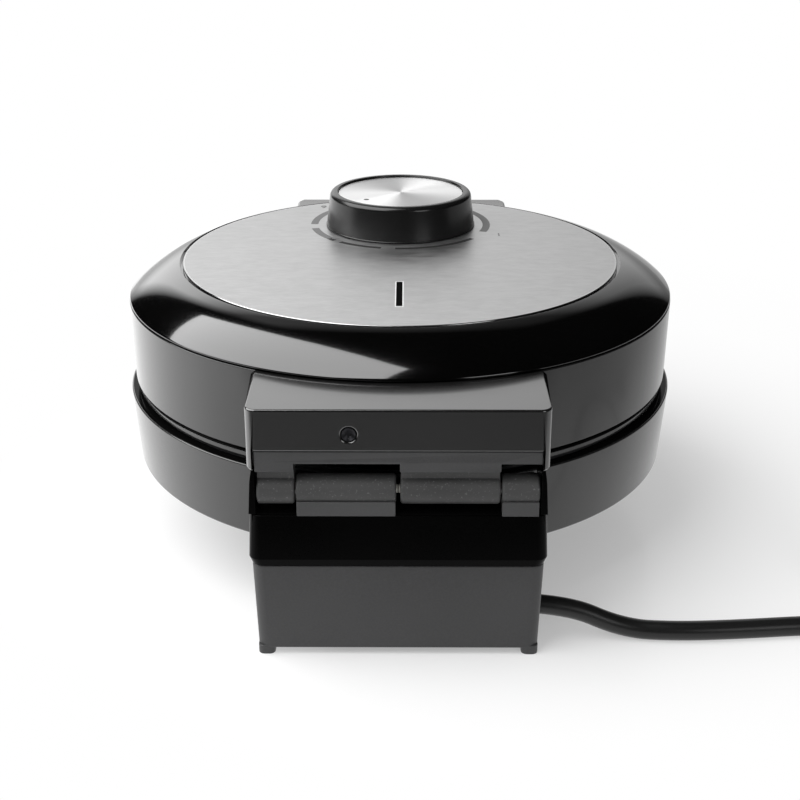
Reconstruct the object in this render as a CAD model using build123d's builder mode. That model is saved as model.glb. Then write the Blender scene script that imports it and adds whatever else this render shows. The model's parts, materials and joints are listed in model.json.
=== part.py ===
from build123d import *
from math import asin, atan2, ceil, cos, degrees, pi, radians, sin, sqrt, tan
import os

# Heart waffle maker, in millimetres. +Z is up and z = 0 is the table. The axis of the
# round body is x = y = 0. The hinge is at +Y and the handle at -Y.

os.makedirs("parts", exist_ok=True)

# The radius of the round body at its seam, which the base, the plates, the hinge, the stand
# and the handle follow

seam_radius = 110.0

# Driving dimensions of the round base

base_bottom_z = 28.3
base_rim_z = 57.5
base_rim_step = 1.7
base_wall_draft = 2.2
base_wall = 2.5
base_floor = 2.5
rim_lip = 4.4
shelf_height = 3.0
shelf_width = 2.8
vent_count = 12
vent_length = 26.0
vent_width = 3.2
vent_radius = 58.0

# Driving dimensions of the lid

lid_wall_bottom_z = 62.7
lid_wall_draft = 0.5
seam_z = 94.2
lid_wall = 2.5
web_reach = 10.0
web_thickness = 2.2
seam_gap = 0.5
crown_turn = 28.0
crown_edge_round = 0.6
crown_reach = 0.6
crown_skirt_depth = 5.0
crown_thickness = 2.4
deck_thickness = 2.4
crown_width = 21.7
steel_thickness = 0.8
steel_top_z = 107.1
steel_proud = 0.2
groove_width = 0.9
groove_depth = 1.6
steel_edge = 0.25

# Driving dimensions of the baking plates, each named once for both plates

parting_z = 59.55
plate_gap = 0.3
plate_side_gap = 0.4
flange_thickness = 2.5
pocket_depth = 9.5
pocket_draft = 10.0
pan_wall = 2.5
heart_count = 5
first_heart_angle = -90.0
heart_tip = 5.0
lobe_radius = 22.1
lobe_offset = 19.4
tip_round = 4.0
notch_round = 2.5
peg_height = 6.8
peg_size = 9.6
peg_pitch = 13.4
peg_draft = 10.0
peg_border = 2.6
smallest_peg = 24.0
spill_groove_inset = 5.6
spill_groove_width = 4.0
spill_groove_depth = 1.0
post_inset = 18.6
post_radius = 4.5
post_bore_depth = 14.0
plate_screw_length = 18.0
lid_screw_length = 15.0
reflector_thickness = 0.8
reflector_inset = 7.1
reflector_rim = 3.8
element_radius = 3.3
element_ring = 62.0
element_opening = 30.0
element_bend = 8.0
element_end_inset = 22.6
terminal_radius = 1.6
terminal_length = 8.0

# Driving dimensions of the hinge

hinge_reach = 17.0
hinge_z = 63.0
barrel_radius = 5.15
pin_radius = 2.0
pin_length = 24.7
knuckle_inset = 2.8
knuckle_outer_width = 12.8
knuckle_middle = 0.7
knuckle_gap = 0.4
lead_radius = 1.5
lead_passage = 2.5
lead_offset = 12.0
lead_bend = 4.0

# Driving dimensions of the rear block, in the lid and in the base

block_rear_margin = 6.0
block_overlap = 18.0
lid_block_step = 0.2
lid_block_bottom_z = 72.1
lid_block_wall = 2.5
lid_block_corner = 4.0
lid_block_edge = 0.8
block_window_z = 79.2
base_block_top_z = 55.2
base_block_top_half_width = 50.3
base_block_top_draft = 0.7
base_block_low_z = 38.8
base_block_low_step = 0.75
base_block_bottom_z = 35.9
base_block_corner = 4.0
base_block_deck = 2.2
pocket_lip = 1.1
frame_sink = 2.5
cheek_height = 16.2
cheek_thickness = 2.5
cheek_top_thickness = 1.2

# Driving dimensions of the stand

stand_side_step = 0.2
stand_side_draft = 1.0
stand_rear_step = 0.9
stand_rear_draft = 0.9
stand_overlap = 22.0
stand_wall = 2.3
stand_floor = 2.4
stand_foot_height = 2.6
stand_foot_width = 5.9
stand_foot_length = 9.0
stand_corner = 4.0
column_side_inset = 5.6
column_inset = 27.0
column_radius = 4.6
stand_screw_length = 24.0

# Driving dimensions of the front legs

leg_angle = 38.0
leg_inset = 21.5
leg_top_radius = 9.0
leg_bottom_radius = 7.6
pad_height = 3.0
pad_radius = 7.2
pad_peg_radius = 3.0
pad_peg_height = 4.0
spigot_radius = 4.0

# Driving dimensions of the front handle

handle_half_width = 51.5
handle_reach = 23.0
handle_root = 12.0
handle_tip_rise = 1.8
handle_lip_height = 13.0
handle_root_rise = 3.3
handle_belly_rise = 11.3
handle_wall = 2.6
handle_corner = 6.0
handle_rim_round = 1.8
handle_block_half = 4.0
handle_screw_x = 25.0
handle_screw_drop = 8.0
handle_screw_length = 14.0

# Driving dimensions of the knob and its shaft

knob_offset = 45.5
knob_foot_radius = 32.5
knob_foot_height = 1.0
knob_bottom_radius = 31.5
knob_top_radius = 30.8
knob_top_z = 122.6
knob_gap = 0.4
knob_wall = 2.5
knob_top_thickness = 2.6
knob_rim_round = 2.2
disc_radius = 27.1
disc_thickness = 0.8
disc_sink = 1.6
shaft_radius = 3.0
shaft_flat = 0.8
hub_cover = 3.0
hub_radius = 7.5
deck_hole_radius = 5.5

# Driving dimensions of the thermostat and the thermal fuse

control_width = 30.0
control_depth = 24.0
control_height = 10.0
control_ear = 11.0
control_ear_thickness = 1.2
control_hole_radius = 1.8
bushing_radius = 4.5
bushing_height = 9.0
fuse_x = 38.0
fuse_radius = 2.1
fuse_length = 12.0
fuse_strap_half = 1.2
fuse_strap_thickness = 0.9

# Driving dimensions of the lamp window

window_width = 2.4
window_length = 29.1
window_inset = 36.15
lens_lip = 2.25
lens_lip_thickness = 1.2
lamp_radius = 2.4
lamp_length = 11.0
board_width = 10.0
board_length = 44.0
board_thickness = 1.5
board_drop = 6.4

# Driving dimensions of the supply

cord_radius = 3.5
cord_exit_inset = 14.1
cord_exit_z = 13.9
cord_inner_reach = 14.1
core_radius = 1.0
clamp_screw_radius = 1.25
clamp_head_radius = 2.2
clamp_head_height = 1.6
clamp_screw_length = 13.0
clamp_height = 6.0
terminal_width = 26.0
terminal_depth = 14.0
terminal_height = 14.0
terminal_screw_radius = 1.8
coil_centre_x = -208.0
coil_radius = 43.3
coil_pitch = 8.9
coil_layer_turns = 0.875
coil_layer_step = 7.8
coil_lift = 0.7
tie_thickness = 0.5
tie_width = 4.5
tie_angle = -90.0
coil_tail = 20.0
coil_tail_lift = 1.7
plug_tail_radius = 4.8
plug_body_radius = 18.3
plug_shoulder = 30.0
plug_length = 43.0
plug_pin_radius = 2.4
plug_pin_length = 19.0
plug_pin_spacing = 19.0

# Clearances and screw sizes

fit = 0.1
running_fit = 0.03
part_gap = 0.3
screw_radius = 1.6
screw_head_radius = 3.0
screw_head_height = 2.2
screw_hole_clearance = 0.3
pilot_clearance = 0.05

# Sizes that follow from them

base_rim_radius = seam_radius + base_rim_step
base_bottom_radius = base_rim_radius - base_wall_draft
lid_bottom_radius = seam_radius - lid_wall_draft
steel_radius = seam_radius - crown_width
plate_radius = lid_bottom_radius - lid_wall - plate_side_gap
spill_groove_radius = plate_radius - spill_groove_inset
post_ring_radius = plate_radius - post_inset
web_inner_radius = post_ring_radius - web_reach
reflector_radius = plate_radius - reflector_inset
element_end_y = plate_radius - element_end_inset
hinge_y = seam_radius + hinge_reach
block_rear_y = hinge_y + block_rear_margin
block_front_y = seam_radius - block_overlap
window_y = steel_radius - window_inset
knuckle_outer_end = base_block_top_half_width - knuckle_inset
lid_block_half_width = base_block_top_half_width + lid_block_step
base_block_low_half_width = base_block_top_half_width + base_block_low_step
stand_half_width_top = base_block_top_half_width - stand_side_step
stand_half_width_bottom = stand_half_width_top - stand_side_draft
column_x = stand_half_width_bottom - column_side_inset
cord_inner_x = -stand_half_width_bottom + cord_inner_reach
stand_rear_top_y = block_rear_y - stand_rear_step
stand_rear_bottom_y = stand_rear_top_y - stand_rear_draft
stand_front_y = seam_radius - stand_overlap
column_y = block_rear_y - column_inset
cord_exit_y = block_rear_y - cord_exit_inset
leg_ring_radius = base_bottom_radius - leg_inset
handle_tip_y = -seam_radius - handle_reach
handle_root_y = -seam_radius + handle_root
handle_tip_z = seam_z + handle_tip_rise
handle_root_z = lid_wall_bottom_z + handle_root_rise
handle_screw_z = seam_z - handle_screw_drop
lower_top_z = parting_z - plate_gap / 2
flange_bottom_z = lower_top_z - flange_thickness
pan_bottom_z = lower_top_z - pocket_depth - pan_wall
element_z = pan_bottom_z - fit - element_radius
reflector_top_z = element_z - element_radius - 1.4
post_bottom_z = reflector_top_z
boss_top_z = reflector_top_z - reflector_thickness
heart_side_angle = 180.0 / heart_count
side_sin = sin(radians(heart_side_angle))
side_cos = cos(radians(heart_side_angle))
lobe_distance = heart_tip + (lobe_radius + lobe_offset * side_cos) / side_sin
post_angle = first_heart_angle + heart_side_angle
post_angles = [90.0, post_angle, 180.0 - post_angle]
steel_bottom_z = steel_top_z - steel_thickness
deck_top_z = steel_bottom_z
deck_bottom_z = deck_top_z - deck_thickness
crown_inner_radius = steel_radius + groove_width
crown_top_z = steel_top_z - steel_proud
crown_bottom_z = seam_z + seam_gap
web_bottom_z = 2 * parting_z - boss_top_z
web_top_z = web_bottom_z + web_thickness
knob_bottom_z = steel_top_z + knob_gap
knob_y = -knob_offset
parting_mirror = Plane.XY.offset(parting_z)
knuckle_outer = (knuckle_outer_end - knuckle_outer_width, knuckle_outer_end)
knuckle_inner = (knuckle_middle, knuckle_outer[0] - knuckle_gap)


def span(pair, sign):
    """A stretch along X, on the +X side or mirrored to the -X side."""
    low, high = sorted((sign * pair[0], sign * pair[1]))
    return low, high


def slab(x, y, z):
    """A block between the two limits given for each axis."""
    centre = ((x[0] + x[1]) / 2, (y[0] + y[1]) / 2, (z[0] + z[1]) / 2)
    block = Box(x[1] - x[0], y[1] - y[0], z[1] - z[0], mode=Mode.PRIVATE)
    return block.moved(Location(centre))


def rod(x, radius, y=hinge_y, z=hinge_z):
    """A round bar along X at the hinge axis, or at another height and depth."""
    bar = Cylinder(radius, x[1] - x[0], rotation=(0, 90, 0), mode=Mode.PRIVATE)
    return bar.moved(Location(((x[0] + x[1]) / 2, y, z)))


def lid_wall_radius(z):
    """Outer radius of the lid's side wall at a height."""
    share = (z - lid_wall_bottom_z) / (seam_z - lid_wall_bottom_z)
    return lid_bottom_radius + share * (seam_radius - lid_bottom_radius)


def base_wall_radius(z):
    """Outer radius of the tub at a height."""
    share = (z - base_bottom_z) / (base_rim_z - base_bottom_z)
    return base_bottom_radius + share * (base_rim_radius - base_bottom_radius)


def rear_section(z, half_width, rear_y, front_y, corner):
    """A rounded rectangle at a height, for the blocks at the rear."""
    with BuildSketch(Plane.XY.offset(z)) as section:
        with Locations((0, (rear_y + front_y) / 2)):
            RectangleRounded(2 * half_width, rear_y - front_y, corner)
    return section.sketch


def wire_tube(points, radii, radius):
    """A round lead along straight runs joined by arcs."""
    with BuildPart() as tube:
        with BuildLine() as path:
            FilletPolyline(*points, radius=radii)
        with BuildSketch(Plane(origin=path.line @ 0, z_dir=path.line % 0)):
            Circle(radius)
        sweep()
    return tube.part


def screws(head_plane, places, length, head_sign=1):
    """Pan-head screws whose heads stand on a plane and whose shanks go below it."""
    with BuildPart() as group:
        with BuildSketch(head_plane):
            with Locations(*places):
                Circle(screw_head_radius)
        extrude(amount=head_sign * screw_head_height, taper=8)
        with BuildSketch(head_plane):
            with Locations(*places):
                Circle(screw_radius)
        extrude(amount=-head_sign * length)
    return group.part


def knob_level(z):
    """A level plane at a height, with its origin on the knob's axis."""
    return Plane(origin=(0, knob_y, z))


def save(builder, name):
    """Label a finished piece and write it."""
    builder.part.label = name
    export_step(builder.part, f"parts/{name}.step")


post_places = [
    (post_ring_radius * cos(radians(a)), post_ring_radius * sin(radians(a)))
    for a in post_angles
]
leg_places = [
    (side * leg_ring_radius * cos(radians(leg_angle)), -leg_ring_radius * sin(radians(leg_angle)))
    for side in (-1, 1)
]
column_places = [(-column_x, column_y), (column_x, column_y)]

# The outline of one heart: two lobes, and sides that run to a tip near the middle


def heart(grow=0.0):
    """One heart with its tip towards the origin and its lobes towards +X."""
    reach = (lobe_distance - heart_tip) * side_cos + lobe_offset * side_sin
    foot = (heart_tip + reach * side_cos, reach * side_sin)
    with BuildSketch() as outline:
        with Locations((lobe_distance, lobe_offset), (lobe_distance, -lobe_offset)):
            Circle(lobe_radius)
        Polygon(
            (heart_tip, 0),
            (foot[0], -foot[1]),
            (lobe_distance, -lobe_offset),
            (lobe_distance, lobe_offset),
            foot,
            align=None,
        )
        tip = outline.vertices().sort_by(Axis.X)[0]
        fillet(tip, radius=tip_round)
        notch = outline.vertices().filter_by_position(Axis.Y, -0.01, 0.01).sort_by(Axis.X)[-1]
        fillet(notch, radius=notch_round)
        if grow:
            offset(amount=grow)
    return outline.sketch


def hearts(z, grow=0.0):
    """The ring of hearts at a height."""
    with BuildSketch(Plane.XY.offset(z)) as ring:
        with PolarLocations(0, heart_count, start_angle=first_heart_angle):
            add(heart(grow))
    return ring.sketch


# The waffle grid of one heart: tapered pegs, cut off by the heart's own border

floor_inset = pocket_depth * tan(radians(pocket_draft))
floor_z = lower_top_z - pocket_depth
heart_middle = (heart_tip + lobe_distance + lobe_radius) / 2
grid_columns = ceil((lobe_distance + lobe_radius) / peg_pitch)
grid_rows = 2 * ceil((lobe_offset + lobe_radius) / peg_pitch)

with BuildSketch(Plane.XY.offset(floor_z)) as peg_feet:
    with Locations((heart_middle, 0)):
        with GridLocations(peg_pitch, peg_pitch, grid_columns, grid_rows):
            Rectangle(peg_size, peg_size)
    add(heart(-floor_inset - peg_border), mode=Mode.INTERSECT)

with BuildPart() as heart_pegs:
    for foot in peg_feet.sketch.faces():
        if foot.area > smallest_peg:
            extrude(to_extrude=foot, amount=peg_height, taper=peg_draft)

# Lower baking plate: a flange, five heart pans below it, pegs in each pan and three posts

with BuildPart() as lower_plate:
    with BuildSketch(Plane.XY.offset(flange_bottom_z)):
        Circle(plate_radius)
    extrude(amount=flange_thickness)
    extrude(to_extrude=hearts(flange_bottom_z, pan_wall), amount=pan_bottom_z - flange_bottom_z)
    with BuildSketch(Plane.XY.offset(lower_top_z)):
        Circle(spill_groove_radius + spill_groove_width / 2)
        Circle(spill_groove_radius - spill_groove_width / 2, mode=Mode.SUBTRACT)
    extrude(amount=-spill_groove_depth, mode=Mode.SUBTRACT)
    for angle in range(heart_count):
        turn = first_heart_angle + angle * 360.0 / heart_count
        mouth = heart().rotate(Axis.Z, turn).moved(Location((0, 0, lower_top_z)))
        floor = heart(-floor_inset).rotate(Axis.Z, turn).moved(Location((0, 0, floor_z)))
        loft(sections=[floor, mouth], ruled=True, mode=Mode.SUBTRACT)
    with PolarLocations(0, heart_count, start_angle=first_heart_angle):
        add(heart_pegs.part)
    with BuildSketch(Plane.XY.offset(flange_bottom_z)):
        with Locations(*post_places):
            Circle(post_radius)
    extrude(amount=post_bottom_z - flange_bottom_z)
    with BuildSketch(Plane.XY.offset(post_bottom_z)):
        with Locations(*post_places):
            Circle(screw_radius + pilot_clearance)
    extrude(amount=post_bore_depth, mode=Mode.SUBTRACT)
save(lower_plate, "lower_plate")

# Upper baking plate: the same casting, turned over, so that both grids meet

with BuildPart() as upper_plate:
    add(mirror(lower_plate.part, about=parting_mirror, mode=Mode.PRIVATE))
save(upper_plate, "upper_plate")

# Heating elements: a ring open at the rear whose ends run straight back to their terminals

with BuildPart() as lower_element:
    with BuildLine(Plane.XY.offset(element_z)) as element_path:
        ring = CenterArc((0, 0), element_ring, 90.0 + element_opening, 360.0 - 2 * element_opening)
        for end, along in ((0, -1), (1, 1)):
            start = ring @ end
            heading = (ring % end) * along
            bend = JernArc(start, heading, element_bend, -along * (90.0 - element_opening))
            Line(bend @ 1, ((bend @ 1).X, element_end_y))
    first = element_path.line @ 0
    with BuildSketch(Plane(origin=first, z_dir=element_path.line % 0)):
        Circle(element_radius)
    sweep()
    element_ends = [
        (v.X, v.Z) for v in (element_path.line @ 0, element_path.line @ 1)
    ]
    for x, z in element_ends:
        with BuildSketch(Plane(origin=(x, element_end_y, z), z_dir=(0, 1, 0))):
            Circle(terminal_radius)
        extrude(amount=terminal_length)
save(lower_element, "lower_element")

with BuildPart() as upper_element:
    add(mirror(lower_element.part, about=parting_mirror, mode=Mode.PRIVATE))
save(upper_element, "upper_element")

# Reflectors: thin pans behind the elements, clamped at the posts

with BuildPart() as lower_reflector:
    with BuildSketch(Plane.XZ):
        with BuildLine():
            Polyline(
                (0, boss_top_z),
                (reflector_radius - 2.0, boss_top_z),
                (reflector_radius, boss_top_z + 2.0),
                (reflector_radius, boss_top_z + reflector_rim),
                (reflector_radius - reflector_thickness, boss_top_z + reflector_rim),
                (reflector_radius - reflector_thickness, reflector_top_z + 1.5),
                (reflector_radius - 2.3, reflector_top_z),
                (0, reflector_top_z),
                close=True,
            )
        make_face()
    revolve(axis=Axis.Z)
    with BuildSketch(Plane.XY.offset(boss_top_z)):
        with Locations(*post_places):
            Circle(screw_radius + screw_hole_clearance)
    extrude(amount=reflector_thickness, mode=Mode.SUBTRACT)
save(lower_reflector, "lower_reflector")

with BuildPart() as upper_reflector:
    add(mirror(lower_reflector.part, about=parting_mirror, mode=Mode.PRIVATE))
save(upper_reflector, "upper_reflector")

# Base shell: a tub with a shelf for the plate's flange, and the rear block with its pocket

shelf_top_z = flange_bottom_z - fit
shelf_radius = base_rim_radius - rim_lip - shelf_width
block_sections = [
    rear_section(
        base_block_bottom_z, stand_half_width_top, stand_rear_top_y, block_front_y, base_block_corner
    ),
    rear_section(
        base_block_low_z, base_block_low_half_width, block_rear_y, block_front_y, base_block_corner
    ),
    rear_section(
        base_block_top_z,
        base_block_top_half_width,
        block_rear_y - base_block_top_draft,
        block_front_y,
        base_block_corner,
    ),
]
deck_z = base_block_top_z - frame_sink
cavity_top_z = deck_z - base_block_deck
cavity_front_y = base_rim_radius + 0.6
block_pilot_depth = 13.0
pocket_front_y = cavity_front_y - 0.5
pocket_rear_y = block_rear_y - base_block_top_draft - pocket_lip
pocket_half_width = base_block_top_half_width - pocket_lip
lead_window = 36.0
lead_window_height = 8.0
element_lead_z = cavity_top_z - 6.5
counterbore_z = base_bottom_z + 4.0

with BuildPart() as tub_solid:
    with BuildSketch(Plane.XZ):
        with BuildLine():
            Polyline(
                (0, base_bottom_z),
                (base_bottom_radius, base_bottom_z),
                (base_rim_radius, base_rim_z),
                (0, base_rim_z),
                close=True,
            )
        make_face()
    revolve(axis=Axis.Z)

with BuildPart() as base_shell:
    for low, high in zip(block_sections, block_sections[1:]):
        loft(sections=[low, high], ruled=True)
    add(tub_solid.part, mode=Mode.SUBTRACT)
    add(
        slab(
            (-base_block_top_half_width + base_wall, base_block_top_half_width - base_wall),
            (cavity_front_y, block_rear_y - 1.5 - base_wall),
            (base_block_bottom_z - 1.0, cavity_top_z),
        ),
        mode=Mode.SUBTRACT,
    )
    add(
        slab(
            (-pocket_half_width, pocket_half_width),
            (pocket_front_y, pocket_rear_y),
            (deck_z, base_block_top_z + 1.0),
        ),
        mode=Mode.SUBTRACT,
    )
    with BuildSketch(Plane.XZ):
        with BuildLine():
            Polyline(
                (0, base_bottom_z),
                (base_bottom_radius, base_bottom_z),
                (base_rim_radius, base_rim_z),
                (base_rim_radius - rim_lip, base_rim_z),
                (base_rim_radius - rim_lip, shelf_top_z),
                (shelf_radius, shelf_top_z),
                (shelf_radius, shelf_top_z - shelf_height + shelf_width),
                (base_wall_radius(shelf_top_z - shelf_height) - base_wall, shelf_top_z - shelf_height),
                (base_bottom_radius - base_wall, base_bottom_z + base_floor),
                (0, base_bottom_z + base_floor),
                close=True,
            )
        make_face()
    revolve(axis=Axis.Z)
    with BuildSketch(Plane.XY.offset(base_bottom_z)):
        with Locations(*post_places):
            Circle(screw_head_radius + 3.0)
    extrude(amount=boss_top_z - base_bottom_z)
    with BuildSketch(Plane.XY.offset(base_bottom_z)):
        with Locations(*post_places):
            Circle(screw_radius + screw_hole_clearance)
    extrude(amount=boss_top_z - base_bottom_z, mode=Mode.SUBTRACT)
    with BuildSketch(Plane.XY.offset(base_bottom_z)):
        with Locations(*post_places):
            Circle(screw_head_radius + 0.6)
        with Locations(*leg_places):
            Circle(spigot_radius + fit)
        with PolarLocations(vent_radius, vent_count, start_angle=180.0 / vent_count):
            SlotOverall(vent_length, vent_width)
    extrude(amount=base_floor, mode=Mode.SUBTRACT)
    with BuildSketch(Plane.XY.offset(base_bottom_z)):
        with Locations(*post_places):
            Circle(screw_head_radius + 0.6)
    extrude(amount=counterbore_z - base_bottom_z, mode=Mode.SUBTRACT)
    with BuildSketch(Plane.XY.offset(base_block_bottom_z)):
        with Locations(*column_places):
            Circle(screw_radius + pilot_clearance)
    extrude(amount=block_pilot_depth, mode=Mode.SUBTRACT)
    add(
        slab(
            (-lead_window / 2, lead_window / 2),
            (base_rim_radius - 12.0, cavity_front_y + 1.0),
            (element_lead_z - lead_window_height / 2, element_lead_z + lead_window_height / 2),
        ),
        mode=Mode.SUBTRACT,
    )
    with BuildSketch(Plane.XY.offset(cavity_top_z)):
        with Locations((lead_offset, hinge_y)):
            Circle(lead_passage)
    extrude(amount=base_block_deck, mode=Mode.SUBTRACT)
save(base_shell, "base_shell")

# Base hinge frame: a plate in the block's pocket that carries cheeks, necks and knuckles

frame_half_width = pocket_half_width - 0.2
cheek_inner_x = knuckle_outer_end + knuckle_gap
cheek_foot_z = base_block_top_z + part_gap
cheek_top_z = cheek_foot_z + cheek_height
cheek_round = cheek_top_z - hinge_z
cheek_rear_y = block_rear_y - base_block_top_draft - 0.5
cheek_front_y = pocket_front_y + 1.0

with BuildPart() as cheek:
    with BuildSketch(Plane.YZ.offset(cheek_inner_x)):
        with BuildLine():
            corner_z = hinge_z + sqrt(cheek_round**2 - (cheek_rear_y - hinge_y) ** 2)
            middle = degrees(atan2(corner_z - hinge_z, cheek_rear_y - hinge_y)) / 2 + 45.0
            Polyline(
                (hinge_y, cheek_top_z),
                (hinge_y - 9.0, cheek_top_z),
                (cheek_front_y, cheek_top_z - 6.0),
                (cheek_front_y, cheek_foot_z),
                (cheek_rear_y, cheek_foot_z),
                (cheek_rear_y, corner_z),
            )
            ThreePointArc(
                (cheek_rear_y, corner_z),
                (
                    hinge_y + cheek_round * cos(radians(middle)),
                    hinge_z + cheek_round * sin(radians(middle)),
                ),
                (hinge_y, cheek_top_z),
            )
        make_face()
    extrude(amount=cheek_thickness)
    with BuildSketch(Plane.XZ.offset(-block_rear_y)):
        with BuildLine():
            slope_z = hinge_z - 2.0
            Polyline(
                (cheek_inner_x, cheek_foot_z),
                (cheek_inner_x + cheek_thickness, cheek_foot_z),
                (cheek_inner_x + cheek_thickness, slope_z),
                (cheek_inner_x + cheek_top_thickness, cheek_top_z),
                (cheek_inner_x, cheek_top_z),
                close=True,
            )
        make_face()
    extrude(amount=2 * (block_rear_y - cheek_front_y), mode=Mode.INTERSECT)

neck_rear_y = hinge_y + 5.2
neck_top_z = hinge_z - 2.2
base_knuckles = [span(knuckle_inner, 1), span(knuckle_outer, -1)]
lid_knuckles = [span(knuckle_outer, 1), span(knuckle_inner, -1)]
pin_spans = [
    (knuckle_outer_end - 0.3 - pin_length, knuckle_outer_end - 0.3),
    (-knuckle_outer_end + 0.3, -knuckle_outer_end + 0.3 + pin_length),
]
pin_bores = [
    (pin_spans[0][0] - 0.3, knuckle_outer_end + 1.0),
    (-knuckle_outer_end - 1.0, pin_spans[1][1] + 0.3),
]
passage_end = lead_offset + lead_passage

with BuildPart() as base_hinge_frame:
    add(
        slab(
            (-frame_half_width, frame_half_width),
            (pocket_front_y + 0.2, pocket_rear_y - 0.2),
            (deck_z, cheek_foot_z - 0.2),
        )
    )
    for side in (-1, 1):
        add(
            slab(
                span((cheek_inner_x, frame_half_width), side),
                (cheek_front_y, pocket_rear_y - 0.2),
                (cheek_foot_z - 0.3, cheek_foot_z),
            )
        )
    add(cheek.part)
    add(mirror(cheek.part, about=Plane.YZ, mode=Mode.PRIVATE))
    for low, high in base_knuckles:
        add(
            slab(
                (low + 0.2, high - 0.2),
                (hinge_y - barrel_radius + 0.05, pocket_rear_y - 0.2),
                (deck_z, hinge_z),
            )
        )
        add(
            slab(
                (low + 0.2, high - 0.2),
                (hinge_y - barrel_radius + 0.05, neck_rear_y),
                (cheek_foot_z, neck_top_z),
            )
        )
        add(rod((low, high), barrel_radius))
    for bore in pin_bores:
        add(rod(bore, pin_radius + running_fit), mode=Mode.SUBTRACT)
    add(rod((0.0, passage_end), lead_passage), mode=Mode.SUBTRACT)
    with BuildSketch(Plane.XY.offset(deck_z)):
        with Locations((lead_offset, hinge_y)):
            Circle(lead_passage)
    extrude(amount=hinge_z - deck_z, mode=Mode.SUBTRACT)
save(base_hinge_frame, "base_hinge_frame")

with BuildPart() as hinge_pins:
    for low, high in pin_spans:
        add(rod((low, high), pin_radius))
save(hinge_pins, "hinge_pins")

# Rear stand: a hollow foot under the block that lets the cord out at its side

tub_clear = 0.2


def stand_hollow(z, inset):
    """The stand's outline at a height, drawn in by an inset."""
    share = (z - stand_foot_height) / (base_block_bottom_z - stand_foot_height)
    half = stand_half_width_bottom + share * (stand_half_width_top - stand_half_width_bottom)
    rear = stand_rear_bottom_y + share * (stand_rear_top_y - stand_rear_bottom_y)
    corner = max(stand_corner - inset, 0.5)
    return rear_section(z, half - inset, rear - inset, stand_front_y + inset, corner)


stand_top_z = base_block_bottom_z - fit
stand_floor_z = stand_foot_height + stand_floor
head_seat_z = 22.0
saddle_x = cord_inner_x - 1.8
saddle_half = 3.4
saddle_post_y = cord_radius + 3.1

with BuildPart() as tub_room:
    with BuildSketch(Plane.XZ):
        with BuildLine():
            Polyline(
                (0, base_bottom_z - fit),
                (base_bottom_radius + tub_clear, base_bottom_z - fit),
                (base_rim_radius + tub_clear, base_rim_z),
                (0, base_rim_z),
                close=True,
            )
        make_face()
    revolve(axis=Axis.Z)

with BuildPart() as rear_stand:
    loft(sections=[stand_hollow(stand_foot_height, 0.0), stand_hollow(stand_top_z, 0.0)], ruled=True)
    loft(
        sections=[stand_hollow(stand_floor_z, stand_wall), stand_hollow(stand_top_z + 1.0, stand_wall)],
        ruled=True,
        mode=Mode.SUBTRACT,
    )
    with BuildSketch(Plane.XY.offset(stand_foot_height)):
        for x in (-1, 1):
            for y in (stand_front_y + stand_foot_length / 2, stand_rear_bottom_y - stand_foot_length / 2):
                with Locations((x * (stand_half_width_bottom - stand_foot_width / 2), y)):
                    RectangleRounded(stand_foot_width, stand_foot_length, 2.0)
    extrude(amount=-stand_foot_height, taper=4)
    with BuildSketch(Plane.XY.offset(stand_foot_height)):
        with Locations(*column_places):
            Circle(column_radius)
    extrude(amount=stand_top_z - stand_foot_height)
    for side in (-1, 1):
        post_y = cord_exit_y + side * saddle_post_y
        add(
            slab(
                (saddle_x - saddle_half + 0.6, saddle_x + saddle_half - 0.6),
                (post_y - 2.4, post_y + 2.4),
                (stand_foot_height, cord_exit_z - fit),
            )
        )
    add(
        slab(
            (saddle_x - saddle_half, saddle_x + saddle_half),
            (cord_exit_y - saddle_post_y, cord_exit_y + saddle_post_y),
            (stand_foot_height, cord_exit_z - cord_radius + 1.0),
        )
    )
    exit_bore = (-stand_half_width_top - 10.0, cord_inner_x + 2.0)
    add(rod(exit_bore, cord_radius + fit, cord_exit_y, cord_exit_z), mode=Mode.SUBTRACT)
    add(tub_room.part, mode=Mode.SUBTRACT)
    with BuildSketch(Plane.XY.offset(stand_foot_height)):
        with Locations(*column_places):
            Circle(screw_head_radius + 0.5)
    extrude(amount=head_seat_z - stand_foot_height, mode=Mode.SUBTRACT)
    with BuildSketch(Plane.XY.offset(stand_foot_height)):
        with Locations(*column_places):
            Circle(screw_radius + screw_hole_clearance)
    extrude(amount=stand_top_z - stand_foot_height, mode=Mode.SUBTRACT)
    with BuildSketch(Plane.XY.offset(stand_floor_z)):
        with Locations(*[(saddle_x, cord_exit_y + side * saddle_post_y) for side in (-1, 1)]):
            Circle(clamp_screw_radius + pilot_clearance)
    extrude(amount=20.0, mode=Mode.SUBTRACT)
save(rear_stand, "rear_stand")

with BuildPart() as stand_screws:
    add(screws(Plane.XY.offset(head_seat_z), column_places, stand_screw_length, -1))
save(stand_screws, "stand_screws")

with BuildPart() as lower_plate_screws:
    add(screws(Plane.XY.offset(counterbore_z), post_places, plate_screw_length, -1))
save(lower_plate_screws, "lower_plate_screws")

# Front legs and their rubber pads

with BuildPart() as front_legs:
    with BuildSketch(Plane.XY.offset(base_bottom_z)):
        with Locations(*leg_places):
            Circle(leg_top_radius)
    leg_height = base_bottom_z - pad_height
    extrude(amount=-leg_height, taper=degrees(atan2(leg_top_radius - leg_bottom_radius, leg_height)))
    with BuildSketch(Plane.XY.offset(base_bottom_z)):
        with Locations(*leg_places):
            Circle(spigot_radius)
    extrude(amount=base_floor - fit)
    with BuildSketch(Plane.XY.offset(pad_height)):
        with Locations(*leg_places):
            Circle(pad_peg_radius + fit)
    extrude(amount=pad_peg_height + fit, mode=Mode.SUBTRACT)
save(front_legs, "front_legs")

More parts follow.
